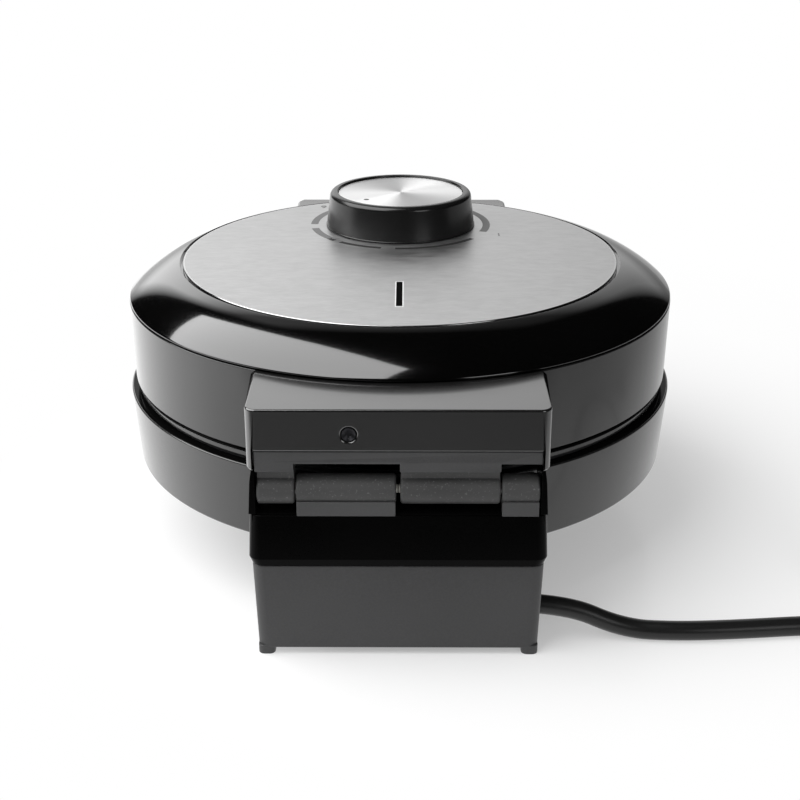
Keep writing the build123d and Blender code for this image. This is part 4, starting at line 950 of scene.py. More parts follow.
@dataclass
class LidShell:
    """The lid's side wall with its web and lip, and the hollow rear block with its screw."""

    bottom: float = 62.7
    bottom_radius: float = 109.5
    seam: float = 94.2
    seam_radius: float = 110.0
    wall: float = 2.5
    web_inner: float = 78.0
    web: Span = (80.6, 82.8)
    edge: float = 0.5
    seam_edge: float = 0.35
    inner_edge: float = 0.2
    web_edge: float = 0.3
    block_half: float = 50.5
    block_front: float = 92.0
    block_rear: float = 133.0
    block_bottom: float = 72.1
    block_corner: float = 4.0
    block_edge: float = 0.8
    drum: float = 108.4
    window_top: float = 79.2
    hole: Span = (16.2, 85.3)
    hole_radius: float = 2.65
    hole_depth: float = 1.4
    screw_radius: float = 1.5
    screw_length: float = 8.0
    screw_head: float = 1.2
    head_gap: float = 0.2
    dish: float = 0.15

    def wall_radius(self, z: float) -> float:
        """Outer radius of the wall at a height."""
        share = (z - self.bottom) / (self.seam - self.bottom)
        return self.bottom_radius + share * (self.seam_radius - self.bottom_radius)

    def lip(self) -> None:
        """The inner lip under the wall, set back behind a groove whose near-black ring is painted
        shade.
        """
        inner = self.bottom_radius - self.wall - 0.1
        for name, width, low, high, finish in (
            ("lid_lip", 1.7, -3.5, -1.8, "tub_plastic"),
            # Set back and near-black: a real groove with painted shade in it.
            ("lid_lip_root", 0.4, -1.9, 1.0, "black_plastic_painted_shade"),
        ):
            z = (self.bottom + low, self.bottom + high)
            ring = Shape.ring(name, (inner, inner + width), z, self.inner_edge, self.inner_edge)
            ring.finish(Body.LID, GLOSS, finish)

    def facing_rear(self, shape: Shape) -> Shape:
        """Turn what stands along Z towards the rear, at the block's hole."""
        x, z = self.hole
        return shape.turn(math.radians(-90), "X").move((x, 0, z))

    def block(self) -> Shape:
        """The hollow block, open below and at the lower rear, with the screw's hole."""
        front, rear, bottom = self.block_front, self.block_rear, self.block_bottom
        ends = [Section(z, self.block_half, front, rear) for z in (bottom, self.seam)]
        block = Shape.lofted("lid_block", ends, self.block_corner)
        block.bevel(block.edges_at(self.seam), self.block_edge, 5)
        inner = self.block_half - self.wall
        wide, back, below = (-inner, inner), rear - self.wall, bottom - PAST
        depth = (rear - self.hole_depth, rear + PAST)
        bore = Shape.bar("bore", (0, 0), depth, self.hole_radius, SMALL_STEPS)
        return block.cut(
            Shape.box("room", wide, (front - PAST, back), (below, self.seam - self.wall)),
            Shape.box("gap", wide, (back - PAST, rear + PAST), (below, self.window_top)),
            Shape.bar("drum", (0, 0), (50, 110), self.drum, LARGE_STEPS),
            self.facing_rear(bore),
        )

    def screw(self) -> Shape:
        """The screw in the block's hole, with a hollow head."""
        seat = self.block_rear - self.hole_depth
        head, top = self.hole_radius - self.head_gap, seat + self.screw_head
        tip, dish = seat - self.screw_length, seat + self.dish
        pin = [
            (0, tip), (self.screw_radius, tip, 0.3), (self.screw_radius, seat), (head, seat, 0.1),
            (head, top, 0.1), (head * 0.9, top, 0.1), (head * 0.35, dish, 0.3), (0, dish),
        ]
        return self.facing_rear(Shape.turned("block_screw_head", pin, 64, closed=False))

    def build(self) -> None:
        """Make the wall, the lip, the screw and the block."""
        low, high = self.web
        profile = [
            (self.bottom_radius, self.bottom, self.edge),
            (self.seam_radius, self.seam, self.seam_edge),
            (self.seam_radius - self.wall, self.seam, self.inner_edge),
            (self.wall_radius(high) - self.wall, high), (self.web_inner, high, self.web_edge),
            (self.web_inner, low, self.web_edge), (self.wall_radius(low) - self.wall, low),
            (self.bottom_radius - self.wall, self.bottom, self.edge),
        ]
        wall = Shape.turned("lid_wall", profile)
        self.lip()
        block = self.block()
        self.screw().finish(Body.LID, "blackened_steel", "blackened_steel", "block_screw")
        wall.finish(Body.LID, GLOSS, GLOSS, "lid_body")
        block.finish(Body.LID, GLOSS, "block_plastic", "lid_body", edge=0.6)


# Base: tub, stand and hinge


@dataclass
class Tub:
    """The round base with its floor, vents, bosses and the rear block."""

    floor: float = 28.3
    floor_radius: float = 109.5
    rim: float = 57.5
    rim_radius: float = 111.7
    wall: float = 2.5
    lip_radius: float = 107.3
    shelf_radius: float = 104.5
    shelf: float = 56.8
    shelf_depth: float = 3.0
    flare: float = 1.9
    floor_edge: float = 1.0
    rim_edge: float = 0.6
    lip_edge: float = 0.3
    shelf_edge: float = 0.2
    band_inset: Span = (0.1, 0.7)
    band_z: Span = (-0.3, 0.05)
    vents: int = 12
    vent_radius: float = 58.0
    vent_length: float = 26.0
    vent_width: float = 3.2
    vent_z: Span = (20.0, 34.0)
    boss_radius: float = 6.0
    boss_top: float = 38.5
    boss_ring: float = 88.0
    boss_well: float = 3.6
    boss_seat: float = 32.3
    bosses: tuple[float, ...] = (90.0, -54.0, 234.0)
    block: tuple[Section, ...] = (
        Section(35.9, 50.1, 92.0, 132.1),
        Section(38.8, 51.05, 92.0, 133.0),
        Section(55.2, 50.3, 92.0, 132.3),
    )
    block_corner: float = 4.0
    block_edge: float = 0.35
    block_room: tuple[Span, Span] = ((112.3, 129.0), (30.0, 50.5))
    drum: float = 109.6
    pocket_half: float = 49.2
    pocket: Span = (111.8, 131.2)
    pocket_floor: float = 52.7

    def round_part(self) -> Shape:
        """The tub with its vents and bosses."""
        inside, deck = self.floor_radius - self.wall, self.floor + self.wall
        profile = [
            (0, self.floor), (self.floor_radius, self.floor, self.floor_edge),
            (self.rim_radius, self.rim, self.rim_edge), (self.lip_radius, self.rim, self.lip_edge),
            (self.lip_radius, self.shelf), (self.shelf_radius, self.shelf, self.shelf_edge),
            (self.shelf_radius, self.shelf - self.shelf_edge),
            (inside + self.flare, self.shelf - self.shelf_depth),
            (inside, deck, self.floor_edge), (0, deck),
        ]
        tub = Shape.turned("tub", profile, closed=False)
        vents = Shape("vents")
        long, half = self.vent_length / 2, self.vent_width / 2
        for i in range(self.vents):
            angle = math.tau * (i + 0.5) / self.vents
            slot = Shape.box("slot", (-long, long), (-half, half), self.vent_z)
            slot.bevel(slot.edges_along("z"), half * 0.98, 6).turn(angle, "Z")
            vents.add(slot.move((*polar(self.vent_radius, angle), 0)))
        tub.cut(vents)
        for angle in self.bosses:
            place = polar(self.boss_ring, math.radians(angle))
            z = (self.floor - 0.01, self.boss_top)
            tub.post(place, self.boss_radius, z, self.boss_well, self.boss_seat, self.vent_z[0])
        return tub

    def build(self) -> None:
        """Make the tub, a near-black ring of painted shade on top of its rim, and the block."""
        self.round_part().finish(Body.BASE, SATIN, "tub_plastic", "base_shell", edge=SOFT_EDGE)
        # Painted shade: a near-black ring on the rim's top, where the rim mirrors the dark
        # underside of the lid.
        inset, (low, high) = self.band_inset, self.band_z
        rim = (self.lip_radius + inset[0], self.rim_radius - inset[1])
        top = Shape.ring("tub_rim_top", rim, (self.rim + low, self.rim + high))
        top.finish(Body.BASE, SATIN, "black_plastic_painted_shade")
        block = Shape.lofted("base_block", list(self.block), self.block_corner)
        last = self.block[-1]
        block.bevel(block.edges_at(last.z), self.block_edge)
        inner, pocket = last.half - self.wall, self.pocket_half
        block.cut(
            Shape.box("room", (-inner, inner), *self.block_room),
            Shape.box("pocket", (-pocket, pocket), self.pocket, (self.pocket_floor, 60.0)),
            Shape.bar("drum", (0, 0), (20, 70), self.drum, LARGE_STEPS),
        )
        # The block's near-black finish is partly the plastic's own black, partly painted shade.
        block.finish(Body.BASE, SATIN, "black_plastic_painted_shade", "base_shell", edge=SOFT_EDGE)


@dataclass
class Stand:
    """The rear housing under the block, on four short feet."""

    bottom: Section = Section(2.6, 49.1, 88.0, 131.2)
    top: Section = Section(35.8, 50.1, 88.0, 132.1)
    corner: float = 4.0
    wall: float = 2.3
    floor: float = 2.4
    foot_width: float = 5.9
    foot_length: float = 9.0
    foot_corner: float = 2.0
    foot_edge: float = 0.3
    foot_sunk: float = 0.8
    low_edge: float = 0.5
    high_edge: float = 0.45
    tub: tuple[Span, Span] = ((109.7, 28.2), (111.9, 57.5))
    column: Span = (43.5, 106.0)
    column_radius: float = 4.6
    well: float = 3.5
    seat: float = 22.0
    exit: Span = (118.9, 13.9)
    exit_radius: float = 3.6
    exit_x: Span = (-60.0, -33.0)

    def build(self) -> None:
        """Make the housing and its feet."""
        low, high, wall = self.bottom, self.top, self.wall
        shell = Shape.lofted("stand_shell", [low, high], self.corner)
        shell.bevel(shell.edges_at(low.z), self.low_edge, 4)
        shell.bevel(shell.edges_at(high.z), self.high_edge)
        hollow = [low.inset(wall, self.floor), high.inset(wall, PAST)]
        tub = [(0, self.tub[0][1]), *self.tub, (0, self.tub[1][1])]
        shell.cut(
            Shape.lofted("room", hollow, self.corner - wall),
            Shape.turned("drum", tub, closed=False),
            Shape.rod("exit", self.exit_x, *self.exit, self.exit_radius, 0),
        )
        half, deep = self.foot_width / 2, self.foot_length / 2
        for side in (-1, 1):
            place, z = (side * self.column[0], self.column[1]), (low.z + 0.4, high.z)
            shell.post(place, self.column_radius, z, self.well, self.seat, 0.0)
            for y in (low.front + deep, low.rear - deep):
                foot = Shape.box("foot", (-half, half), (-deep, deep), (0, low.z + self.foot_sunk))
                foot.bevel(foot.edges_along("z"), self.foot_corner, 5)
                foot.bevel(foot.edges_at(0), self.foot_edge)
                shell.add(foot.move((side * (low.half - half), y, 0)))
        shell.finish(Body.BASE, SATIN, "stand_plastic", "rear_stand", edge=SOFT_EDGE)


@dataclass
class Hinge:
    """Inserts, cheeks, tabs and interleaved knuckles of the hinge."""

    y: float = 127.0
    z: float = 63.0
    barrel: float = 5.15
    outer: Span = (34.7, 47.5)
    inner: Span = (0.7, 34.3)
    plate_half: float = 49.0
    plate_y: Span = (112.0, 131.0)
    plate_z: Span = (52.7, 55.3)
    cheek_x: Span = (47.9, 50.4)
    cheek_y: Span = (112.8, 131.8)
    cheek_z: Span = (55.5, 71.7)
    cheek_top: float = 49.1
    cheek_round: float = 4.6
    cheek_slope: float = 5.8
    neck_rear: float = 132.2
    neck_top: float = 60.2
    band_y: Span = (129.6, 132.4)
    band_z: Span = (74.5, 79.0)
    band_half: float = 47.8
    tab_bottom: float = 71.6
    deck_front: float = 96.0
    deck_top: float = 77.0
    drum: float = 110.1
    end_round: float = 1.0
    neck_inset: float = 0.2
    neck_edge: float = 0.3
    root_inset: float = 0.5
    root_y: Span = (0.3, 3.4)

    def sides(self, *spans: tuple[Span, int]) -> list[Span]:
        """Stretches along X, each on its own side."""
        return [tuple(sorted((side * span[0], side * span[1]))) for span, side in spans]

    def knuckle(self, span: Span) -> Shape:
        """One barrel with its pin bore left closed."""
        return Shape.rod("barrel", span, self.y, self.z, self.barrel, self.end_round)

    def cheek(self, side: int) -> Shape:
        """One cheek: a leaning plate whose top is rounded behind the axis and cut before it."""
        low, high = self.cheek_z
        plate = Shape.box("cheek", self.cheek_x, self.cheek_y, (low, high))
        for limits, width, segments in (
            ((self.y, math.inf), self.cheek_round, 8),
            ((-math.inf, self.y - 10), self.cheek_slope, 1),
        ):
            top = [
                e
                for e in plate.edges_along("x")
                if all(v.co.z > high - 1 and limits[0] < v.co.y < limits[1] for v in e.verts)
            ]
            plate.bevel(top, width, segments)
        root = self.z - 2
        for vert in plate.mesh.verts:
            if vert.co.x > self.cheek_x[0] + 1 and vert.co.z > root:
                share = (vert.co.z - root) / (high - root)
                vert.co.x -= share * (self.cheek_x[1] - self.cheek_top)
        return plate.scale((side, 1, 1))

    def base_part(self) -> None:
        """The base's insert and its two knuckles."""
        wide = (-self.plate_half, self.plate_half)
        plate = Shape.box("base_insert", wide, self.plate_y, self.plate_z, 0.25)
        plate.add(self.cheek(1), self.cheek(-1))
        necks = Shape("base_necks")
        knuckles = Shape("base_knuckles")
        front = self.y - self.barrel
        neck_y, neck_z = (front + SUNK, self.neck_rear), (self.plate_z[0], self.neck_top)
        root_y = (front + self.root_y[0], self.y + self.root_y[1])
        root_z = (self.neck_top - PAST, self.z)
        gap, root_gap = self.neck_inset, self.root_inset
        for low, high in self.sides((self.inner, 1), (self.outer, -1)):
            necks.add(Shape.box("neck", (low + gap, high - gap), neck_y, neck_z, self.neck_edge))
            knuckles.add(self.knuckle((low, high)))
            root_x = (low + root_gap, high - root_gap)
            knuckles.add(Shape.box("root", root_x, root_y, root_z, SOFT_EDGE))
        node = "base_hinge_frame"
        # The insert plate and cheeks: black plastic darkened further as painted shade.
        plate.finish(Body.BASE, SATIN, "black_plastic_painted_shade", node, edge=SOFT_EDGE)
        necks.finish(Body.BASE, SATIN, "insert_plastic", node)
        knuckles.finish(Body.BASE, SATIN, "knuckle_plastic", node)

    def lid_part(self) -> None:
        """The lid's band, tabs, necks and two knuckles."""
        wide, bottom = (-self.band_half, self.band_half), self.band_z[0]
        insert = Shape.box("lid_insert", wide, self.band_y, self.band_z)
        knuckles = Shape("lid_knuckles")
        tab_z, gap = (self.tab_bottom, bottom + PAST), self.neck_inset
        neck_y, neck_z = (self.y - self.barrel + SUNK, self.y + 2.0), (self.z, bottom)
        for low, high in self.sides((self.outer, 1), (self.inner, -1)):
            insert.join(Shape.box("tab", (low + 0.1, high + 0.1), self.band_y, tab_z))
            knuckles.add(self.knuckle((low, high)))
            knuckles.add(Shape.box("neck", (low + gap, high - gap), neck_y, neck_z, SOFT_EDGE))
        deck_y = (self.deck_front, self.band_y[0] + 0.7)
        deck = Shape.box("deck", wide, deck_y, (bottom, self.deck_top))
        insert.add(deck.cut(Shape.bar("drum", (0, 0), (60, 90), self.drum, LARGE_STEPS)))
        node = "lid_hinge_frame"
        insert.finish(Body.LID, SATIN, "insert_plastic", node, edge=SOFT_EDGE)
        knuckles.finish(Body.LID, SATIN, "knuckle_plastic", node)

    def build(self) -> None:
        """Make both halves."""
        self.base_part()
        self.lid_part()


# Knob and dial


@dataclass
class Knob:
    """The hollow cap with its flared foot, and the spun disc with its index dot."""

    bottom: float = 107.5
    foot: float = 32.5
    foot_top: float = 107.75
    waist: float = 32.25
    waist_z: float = 107.9
    top: float = 122.2
    top_radius: float = 30.5
    rim: float = 2.2
    recess: float = 27.2
    seat: float = 120.2
    face: float = 2.6
    wall: float = 2.5
    edge: float = 0.1
    recess_edge: float = 0.5
    inner_edge: float = 0.3
    hub: float = 7.5
    hub_bottom: float = 109.5
    shaft: float = 3.0
    bore: float = 7.9
    disc: float = 27.1
    disc_top: float = 121.3
    dot_turn: float = 41.9
    dot_share: float = 0.72
    dot_radius: float = 1.2

    def build(self) -> None:
        """Make the cap, the disc and the dot."""
        under, bore = self.seat - self.face, self.shaft + 0.03
        profile = [
            (self.recess, self.seat), (self.recess, self.top, self.recess_edge),
            (self.top_radius, self.top, self.rim), (self.waist, self.waist_z, self.edge),
            (self.foot, self.foot_top, self.edge), (self.foot, self.bottom, self.edge),
            (self.waist - self.wall, self.bottom, self.inner_edge),
            (self.top_radius - self.wall, under), (self.hub, under),
            (self.hub, self.hub_bottom, self.inner_edge), (bore, self.hub_bottom),
            (bore, self.hub_bottom + self.bore), (self.shaft - 0.5, self.seat),
        ]
        cap = Shape.turned("knob_cap", profile, KNOB_STEPS).move((0, KNOB_Y, 0))
        cap.finish(Body.KNOB, "knob_plastic", "knob_plastic", "knob")
        z = (self.seat, self.disc_top)
        disc = Shape.bar("spun_disc", (0, KNOB_Y), z, self.disc, KNOB_STEPS, self.inner_edge)
        disc.finish(Body.KNOB, "spun_aluminium", "spun_aluminium", "knob_disc")
        x, y = polar(self.disc * self.dot_share, math.radians(self.dot_turn))
        z = (self.disc_top - 0.2, self.disc_top + PRINT)
        dot = Shape.bar("index_dot", (x, KNOB_Y + y), z, self.dot_radius, 40)
        dot.finish(Body.KNOB, "knob_plastic", "knob_plastic")


@dataclass
class Dial:
    """The printed ring round the knob: segments, thin lines and numerals on the steel; the thin
    lines are the ring's print in front of the knob, painted near-black as the knob's reflection.

    Args:
        ring: inner and outer radius of the ring.
        top: height of the steel's face.
        arcs: start and end angle of each segment, in degrees.
        lines: start and end angle of each thin segment, painted near-black as the knob's
            reflection.
        line: inner and outer radius of the thin segments.
        numerals: the text and the angle of each numeral.
        numeral_radius: distance of the numerals from the axis.
        numeral_size: height of the numerals.
    """

    ring: Span = (36.1, 39.3)
    top: float = 107.1
    arcs: tuple[Span, ...] = ((-60.0, 1.5), (11.6, 38.0), (160.3, 240.0))
    lines: tuple[Span, ...] = ((38.0, 43.7), (48.9, 78.0), (87.0, 142.5))
    line: Span = (37.2, 39.4)
    numerals: tuple[tuple[str, float], ...] = (("1", 158.0), ("6", -39.0))
    numeral_radius: float = 45.5
    numeral_size: float = 6.0

    def arc(self, start: float, end: float, ring: Span) -> Shape:
        """One segment of a ring: its cross-section swept round the dial's axis."""
        inner, outer = ring
        low, high = self.top - SUNK, self.top + PRINT
        part = Shape("arc")
        bm = part.mesh
        bmesh.ops.create_grid(bm, x_segments=1, y_segments=1, size=0.5)
        part.scale((outer - inner, high - low, 1)).turn(math.radians(90), "X")
        part.move(((inner + outer) / 2, 0, (low + high) / 2)).turn(math.radians(start), "Z")
        cap = bmesh.ops.duplicate(bm, geom=bm.faces[:])["geom"]
        face = [g for g in cap if isinstance(g, bmesh.types.BMFace)]
        return part.spin(face, math.radians(end - start), max(6, round(end - start)))

    def numeral(self, text: str, angle: float) -> Shape:
        """One printed numeral."""
        curve = bpy.data.curves.new("numeral", "FONT")
        curve.body = text
        curve.size = self.numeral_size
        curve.align_x = curve.align_y = "CENTER"
        curve.extrude = PRINT / 2 + 0.02
        spare = bpy.data.objects.new("numeral", curve)
        mesh = bpy.data.meshes.new_from_object(spare)
        shape = Shape("numeral")
        shape.mesh.from_mesh(mesh)
        bpy.data.objects.remove(spare)
        bpy.data.curves.remove(curve)
        bpy.data.meshes.remove(mesh)
        place = polar(self.numeral_radius, math.radians(angle))
        return shape.merge().move((*place, self.top + PRINT / 2))

    def build(self) -> None:
        """Make the print, with its front arcs painted near-black as the knob's reflection."""
        ink = Shape("dial_print")
        ink.add(*(self.arc(start, end, self.ring) for start, end in self.arcs))
        ink.add(*(self.numeral(text, angle) for text, angle in self.numerals))
        ink.move((0, KNOB_Y, 0)).finish(Body.LID, "blackened_steel", "dial_ink")
        # The ring's print in front of the knob, near-black: a painted reflection of the black knob.
        black = Shape("dial_lines")
        black.add(*(self.arc(start, end, self.line) for start, end in self.lines))
        black.move((0, KNOB_Y, 0)).finish(Body.LID, "blackened_steel", "dial_painted_reflection")


# Handle, legs and baking plates


@dataclass
class Rounded:
    """CAD pieces that keep their shape and get rounded edges.

    Args:
        pieces: node, body, finish and edge width of each.
    """

    pieces: tuple[tuple[str, Body, str, float], ...] = (
        ("lid_handle", Body.LID, "handle_plastic", 1.0),
        ("front_legs", Body.BASE, "tub_plastic", 0.4),
        ("lower_plate", Body.BASE, "plate_coating", 0.25),
        ("upper_plate", Body.LID, "plate_coating", 0.25),
    )

    def build(self) -> None:
        """Make them."""
        for node, body, finish, edge in self.pieces:
            Shape.of_node(node).finish(body, slot_of(node), finish, node, edge=edge)


# Supply: cord with its coil, and the plug


@dataclass
class Supply:
    """The mains cord: a free stretch, then a put-away coil, then the plug.

    Args:
        route: the free stretch's points, as in the CAD source.
        centre: the coil's centre in plan.
        radius: the coil's outer radius.
        pitch: how much the radius shrinks in one turn.
        layer: turns of each layer.
        climb: turns between the layers.
        step: height between the layers.
        height: height of the lower layer's centre line.
        per_turn: control points for each turn.
        tail: straight length before the plug.
        tail_lift: how far the tail rises above the coil.
        heading: direction of the tail and the plug.
        exit: where the cord leaves the stand; not used.
        length: length of the cord in metres; not used.
        plug_neck: the plug's first corners, from its tail on.
    """

    route: tuple[Point, ...] = (
        (-35.0, 118.9, 13.9), (-58.5, 118.9, 13.9), (-80.5, 119.6, 3.5), (-100.0, 121.3, 3.5),
        (-122.0, 119.9, 3.5), (-147.0, 117.2, 3.5), (-175.0, 117.3, 4.2),
    )
    diameter: float = 7.0
    centre: Span = (-208.0, 74.0)
    radius: float = 43.3
    pitch: float = 8.9
    layer: float = 0.875
    climb: float = 0.5
    step: float = 7.8
    height: float = 4.2
    per_turn: int = 16
    tail: float = 20.0
    tail_lift: float = 1.7
    heading: Point = (0.0, -0.9959, 0.0905)
    exit: Point = (-49.4, 118.9, 13.9)
    length: float = 0.741
    plug_length: float = 43.0
    plug_radius: float = 18.3
    plug_neck: tuple[Point, ...] = ((4.8, 0, 0.5), (5.8, 13.0, 6.0), (9.5, 18.6, 3.0))
    shoulder_foot: float = 26.2
    shoulder: float = 30.0

    @property
    def turns(self) -> float:
        """Turns of the whole coil."""
        return 2 * self.layer + self.climb

    def coil_point(self, turns: float, hull: float) -> Vector:
        """A control point of the coil, `hull` times as far out as the line itself."""
        low, high = self.layer, self.layer + self.climb
        share = min(1.0, max(0.0, (turns - low) / self.climb))
        inward = min(turns, low, self.turns - turns) if turns < low or turns > high else low
        reach = (self.radius - self.pitch * inward) * hull
        x, y = polar(reach, math.radians(90) + math.tau * turns)
        rise = self.step * share * share * (3 - 2 * share)
        return Vector((self.centre[0] + x, self.centre[1] + y, self.height + rise))

    def coil_end(self) -> Vector:
        """Where the tail leaves the coil."""
        return self.coil_point(self.turns, 1.0) + Vector((0, 0, self.tail_lift))

    def coil(self) -> list[Vector]:
        """Control points of the coil and its straight tail, which ends inside the plug."""
        hull = 1 / math.cos(math.pi / self.per_turn)
        count = round(self.turns * self.per_turn)
        points = [self.coil_point(i / self.per_turn, hull) for i in range(1, count)]
        end, heading = self.coil_end(), Vector(self.heading)
        return [*points, end, end + heading * self.tail * 0.5, end + heading * (self.tail + 4.0)]

    def plug(self) -> bpy.types.Object:
        """The moulded body with its shoulder, from the cord's tail on."""
        r = self.plug_radius
        profile = [
            (0, 0), *self.plug_neck, (r - 1.2, self.shoulder_foot, 6.0), (r, self.shoulder, 4.0),
            (r, self.plug_length, 1.5), (0, self.plug_length),
        ]
        body = Shape.turned("plug_shell", profile, 144, closed=False)
        heading, across = Vector(self.heading), Vector((1, 0, 0))
        facing = Matrix((across, heading.cross(across), heading)).transposed().to_4x4()
        body.mesh.transform(Matrix.Translation(self.coil_end() + heading * self.tail) @ facing)
        return body.finish(Body.BASE, "cord_rubber", "cord_rubber", "plug_body")

    def build(self) -> None:
        """Make the cord and the plug."""
        points = [Vector(p) for p in self.route] + self.coil()
        curve = bpy.data.curves.new("supply_cord", "CURVE")
        curve.dimensions = "3D"
        curve.resolution_u = 10
        curve.bevel_depth = self.diameter / 2 * MM
        curve.bevel_resolution = 7
        curve.use_fill_caps = True
        spline = curve.splines.new("NURBS")
        spline.points.add(len(points) - 1)
        for target, point in zip(spline.points, points):
            target.co = (*(point * MM), 1.0)
        spline.order_u = 3
        spline.use_endpoint_u = True
        curve.materials.append(material("cord_rubber"))
        obj = add_object("supply_cord", curve)
        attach(obj, Body.BASE.value)
        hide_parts("power_cord", "cord_coil")
        put_away = [self.plug(), frame["nodes"]["plug_pins"], frame["nodes"]["coil_tie"]]
        for piece in (obj, *put_away):
            piece.visible_glossy = False


# Floor, lights and camera


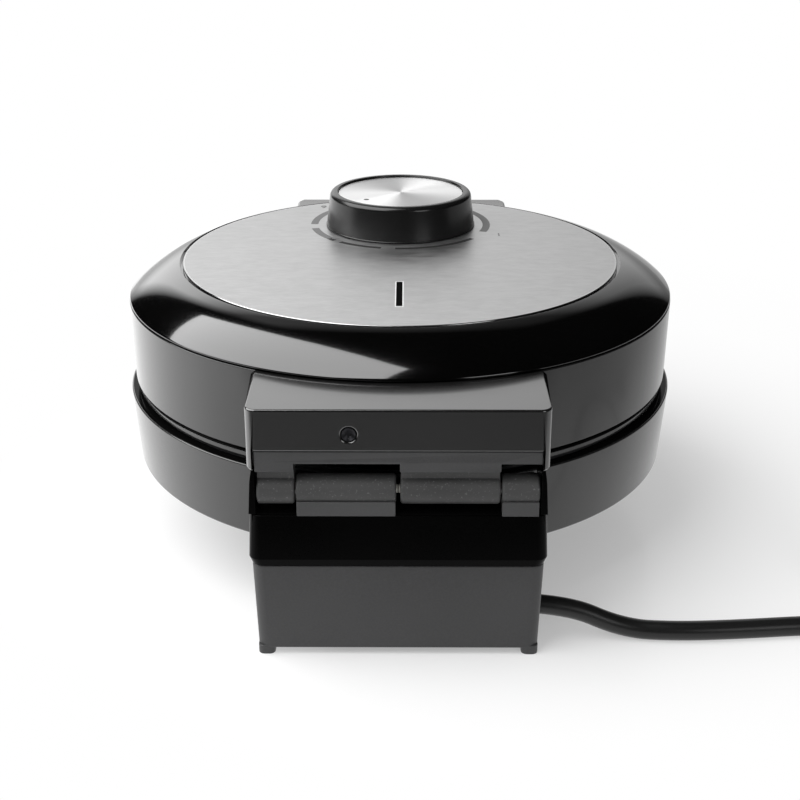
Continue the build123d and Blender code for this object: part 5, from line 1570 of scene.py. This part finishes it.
@dataclass
class Studio:
    """The studio round the object.

    Args:
        floor_size: width of the floor in metres.
        camera_place: where the camera stands, in millimetres.
        camera_tilt: its turn about X in degrees.
        camera_turn: its turn about Z in degrees.
        lens: its focal length in millimetres.
        backdrop: level of the wall that glossy faces mirror.
        gloom: level of the rest of the room in a mirror.
        ambient: level of the light from all round.
        glow: the floor's own glow close to the object, low so that the lamps' shadow shows.
        mirror: the floor's painted level in a mirror on its two sides: painted light towards +X,
            painted shade towards -X.
        apron: distance towards the camera over which that painted level falls, in metres.
        shade, clear: distances from the object over which the floor's own glow rises, painting
            light over the shade.
        side, near: the same towards +X and towards the camera, where the painted glow lifts the
            object's shadow.
        wall_half: half the wall's width, from full to nothing, at a distance of 1.
        wall_ends: its level at its two ends.
        wall_foot, wall_head, wall_top: heights over which it rises, dims and ends.
    """

    floor_size: float = 9.0
    camera_place: Point = (-2.56, 543.0, 270.0)
    camera_tilt: float = 67.22
    camera_turn: float = 180.27
    lens: float = 61.9
    backdrop: float = 0.95
    gloom: float = 0.004
    ambient: float = 0.4
    glow: float = 0.3
    mirror: Span = (0.4, 1.5)
    apron: Span = (0.17, 0.25)
    shade: Span = (0.12, 0.27)
    clear: Span = (0.27, 0.4)
    side: Span = (0.02, 0.12)
    near: Span = (0.13, 0.2)
    wall_half: Span = (0.52, 0.66)
    wall_ends: Span = (0.42, 1.65)
    wall_foot: Span = (0.06, 0.18)
    wall_head: Span = (0.62, 1.05)
    wall_top: Span = (1.3, 1.7)

    def floor(self) -> None:
        """A white glossy floor that keeps the object's shadow near it, with painted light: its own
        glow lifts the shade farther out, towards +X and towards the camera, and in mirrors it shows
        a painted level, bright towards +X, dim towards -X and falling towards the camera.
        """
        bm = bmesh.new()
        bmesh.ops.create_grid(bm, x_segments=1, y_segments=1, size=self.floor_size / 2)
        mesh = bpy.data.meshes.new("floor")
        bm.to_mesh(mesh)
        bm.free()
        obj = add_object("floor", mesh)
        graph = Graph(bpy.data.materials.new("floor_white"))
        white = graph.blend(graph.noise(3.0), grey(0.92), grey(0.95))
        inputs = {"Base Color": white, "Roughness": 0.22, "Specular IOR Level": 0.35}
        shader = graph.node("ShaderNodeBsdfPrincipled", inputs)
        across, along, _ = graph.axes(graph.place())
        direct, mirrored = graph.rays()
        # Painted light in mirrors: the floor shows a level that is bright towards +X, as if lit
        # there, dim towards -X, and falling towards the camera.
        level = graph.between(across, -0.3, 0.3, *self.mirror)
        level = level * graph.between(along, *self.apron, 1.0, 0.03)
        painted_floor_light = graph.blend(mirrored, grey(1.0), graph.grey(level))
        glow = graph.node("ShaderNodeEmission", {"Color": painted_floor_light, "Strength": 1.0})
        # Painted light for the camera: the floor's own glow is low by the object, so the lamps'
        # shadow shows, and rises farther out, towards +X and towards the camera, lifting the shade
        # there.
        far = graph.length(graph.place())
        own = graph.between(far, *self.shade, self.glow, 0.88)
        own = own + graph.between(far, *self.clear, 0.0, 0.12)
        own = own + graph.between(across, *self.side, 0.0, 0.45)
        own = own + graph.between(along, *self.near, 0.0, 0.4)
        inputs = {0: direct * own + mirrored * 0.85, 1: graph.out(shader), 2: graph.out(glow)}
        graph.end("ShaderNodeOutputMaterial", graph.node("ShaderNodeMixShader", inputs))
        mesh.materials.append(graph.owner)

    def world(self) -> None:
        """White for the camera, dim light from all round, and a wall for mirrors alone."""
        world = bpy.data.worlds.new("studio")
        bpy.context.scene.world = world
        graph = Graph(world)
        heading = graph.out(graph.node("ShaderNodeTexCoord"), "Generated")
        x, y, z = graph.axes(heading)
        away = graph.maths("MAXIMUM", -1.0 * y, 0.001)
        across, rise = x / away, z / away
        wall = graph.between(graph.maths("ABSOLUTE", across), *self.wall_half, 1.0, 0.0)
        wall = wall * graph.between(across, -0.5, 0.5, *self.wall_ends)
        above = graph.between(rise, *self.wall_head, 1.0, 0.14)
        above = above * graph.between(rise, *self.wall_top, 1.0, 0.0)
        wall = wall * above * graph.between(rise, *self.wall_foot, 0.5, 1.0)
        glossy = wall * self.backdrop + self.gloom
        camera, shiny = graph.rays()
        plain = (1.0 - camera) * (1.0 - shiny) * self.ambient
        strength = camera + plain + shiny * (1.0 - camera) * glossy
        back = graph.node("ShaderNodeBackground", {"Color": grey(1.0), "Strength": strength})
        graph.end("ShaderNodeOutputWorld", back)

    def lamp(
        self, name: str, place: Point, target: Point, size: Span, power: float, roll: float = 0.0
    ) -> None:
        """One soft box.

        Args:
            name: its name.
            place: where it stands, in metres.
            target: what it faces.
            size: its width and height.
            power: its power in watts.
            roll: turn about the line to its target, in degrees.
        """
        data = bpy.data.lights.new(name, "AREA")
        data.shape = "RECTANGLE"
        data.size, data.size_y = size
        data.energy = power
        obj = add_object(name, data)
        obj.location = place
        look = (Vector(target) - Vector(place)).to_track_quat("-Z", "Y").to_matrix()
        obj.rotation_euler = (look @ Matrix.Rotation(math.radians(roll), 3, "Z")).to_euler()
        obj.visible_camera = False

    def camera(self) -> None:
        """The camera at the photograph's place."""
        data = bpy.data.cameras.new("camera")
        data.lens = self.lens
        data.sensor_width = 36.0
        obj = add_object("camera", data)
        obj.location = Vector(self.camera_place) * MM
        obj.rotation_euler = (math.radians(self.camera_tilt), 0.0, math.radians(self.camera_turn))
        bpy.context.scene.camera = obj

    def build(self) -> None:
        """Set everything up."""
        self.camera()
        self.floor()
        self.world()
        self.lamp("side_box", (0.62, 0.12, 0.86), (0.0, 0.0, 0.1), (1.34, 1.09), 17.0, roll=34.0)
        self.lamp("rear_fill", (-0.75, 1.05, 0.55), (0.0, 0.1, 0.05), (0.45, 0.45), 1.6)
        bpy.context.scene.view_settings.view_transform = "Standard"


def main() -> None:
    """Dress the frame and set the studio."""
    logging.basicConfig(level=logging.INFO, format="%(message)s")
    lid = (LidShell(), Crown(), SteelDisc())
    for assembly in (Tub(), Stand(), Hinge(), *lid, Knob(), Dial(), Rounded(), Supply()):
        assembly.build()
        LOG.info("built %s", type(assembly).__name__)
    dress_nodes()
    Studio().build()


if __name__ == "__main__":
    main()
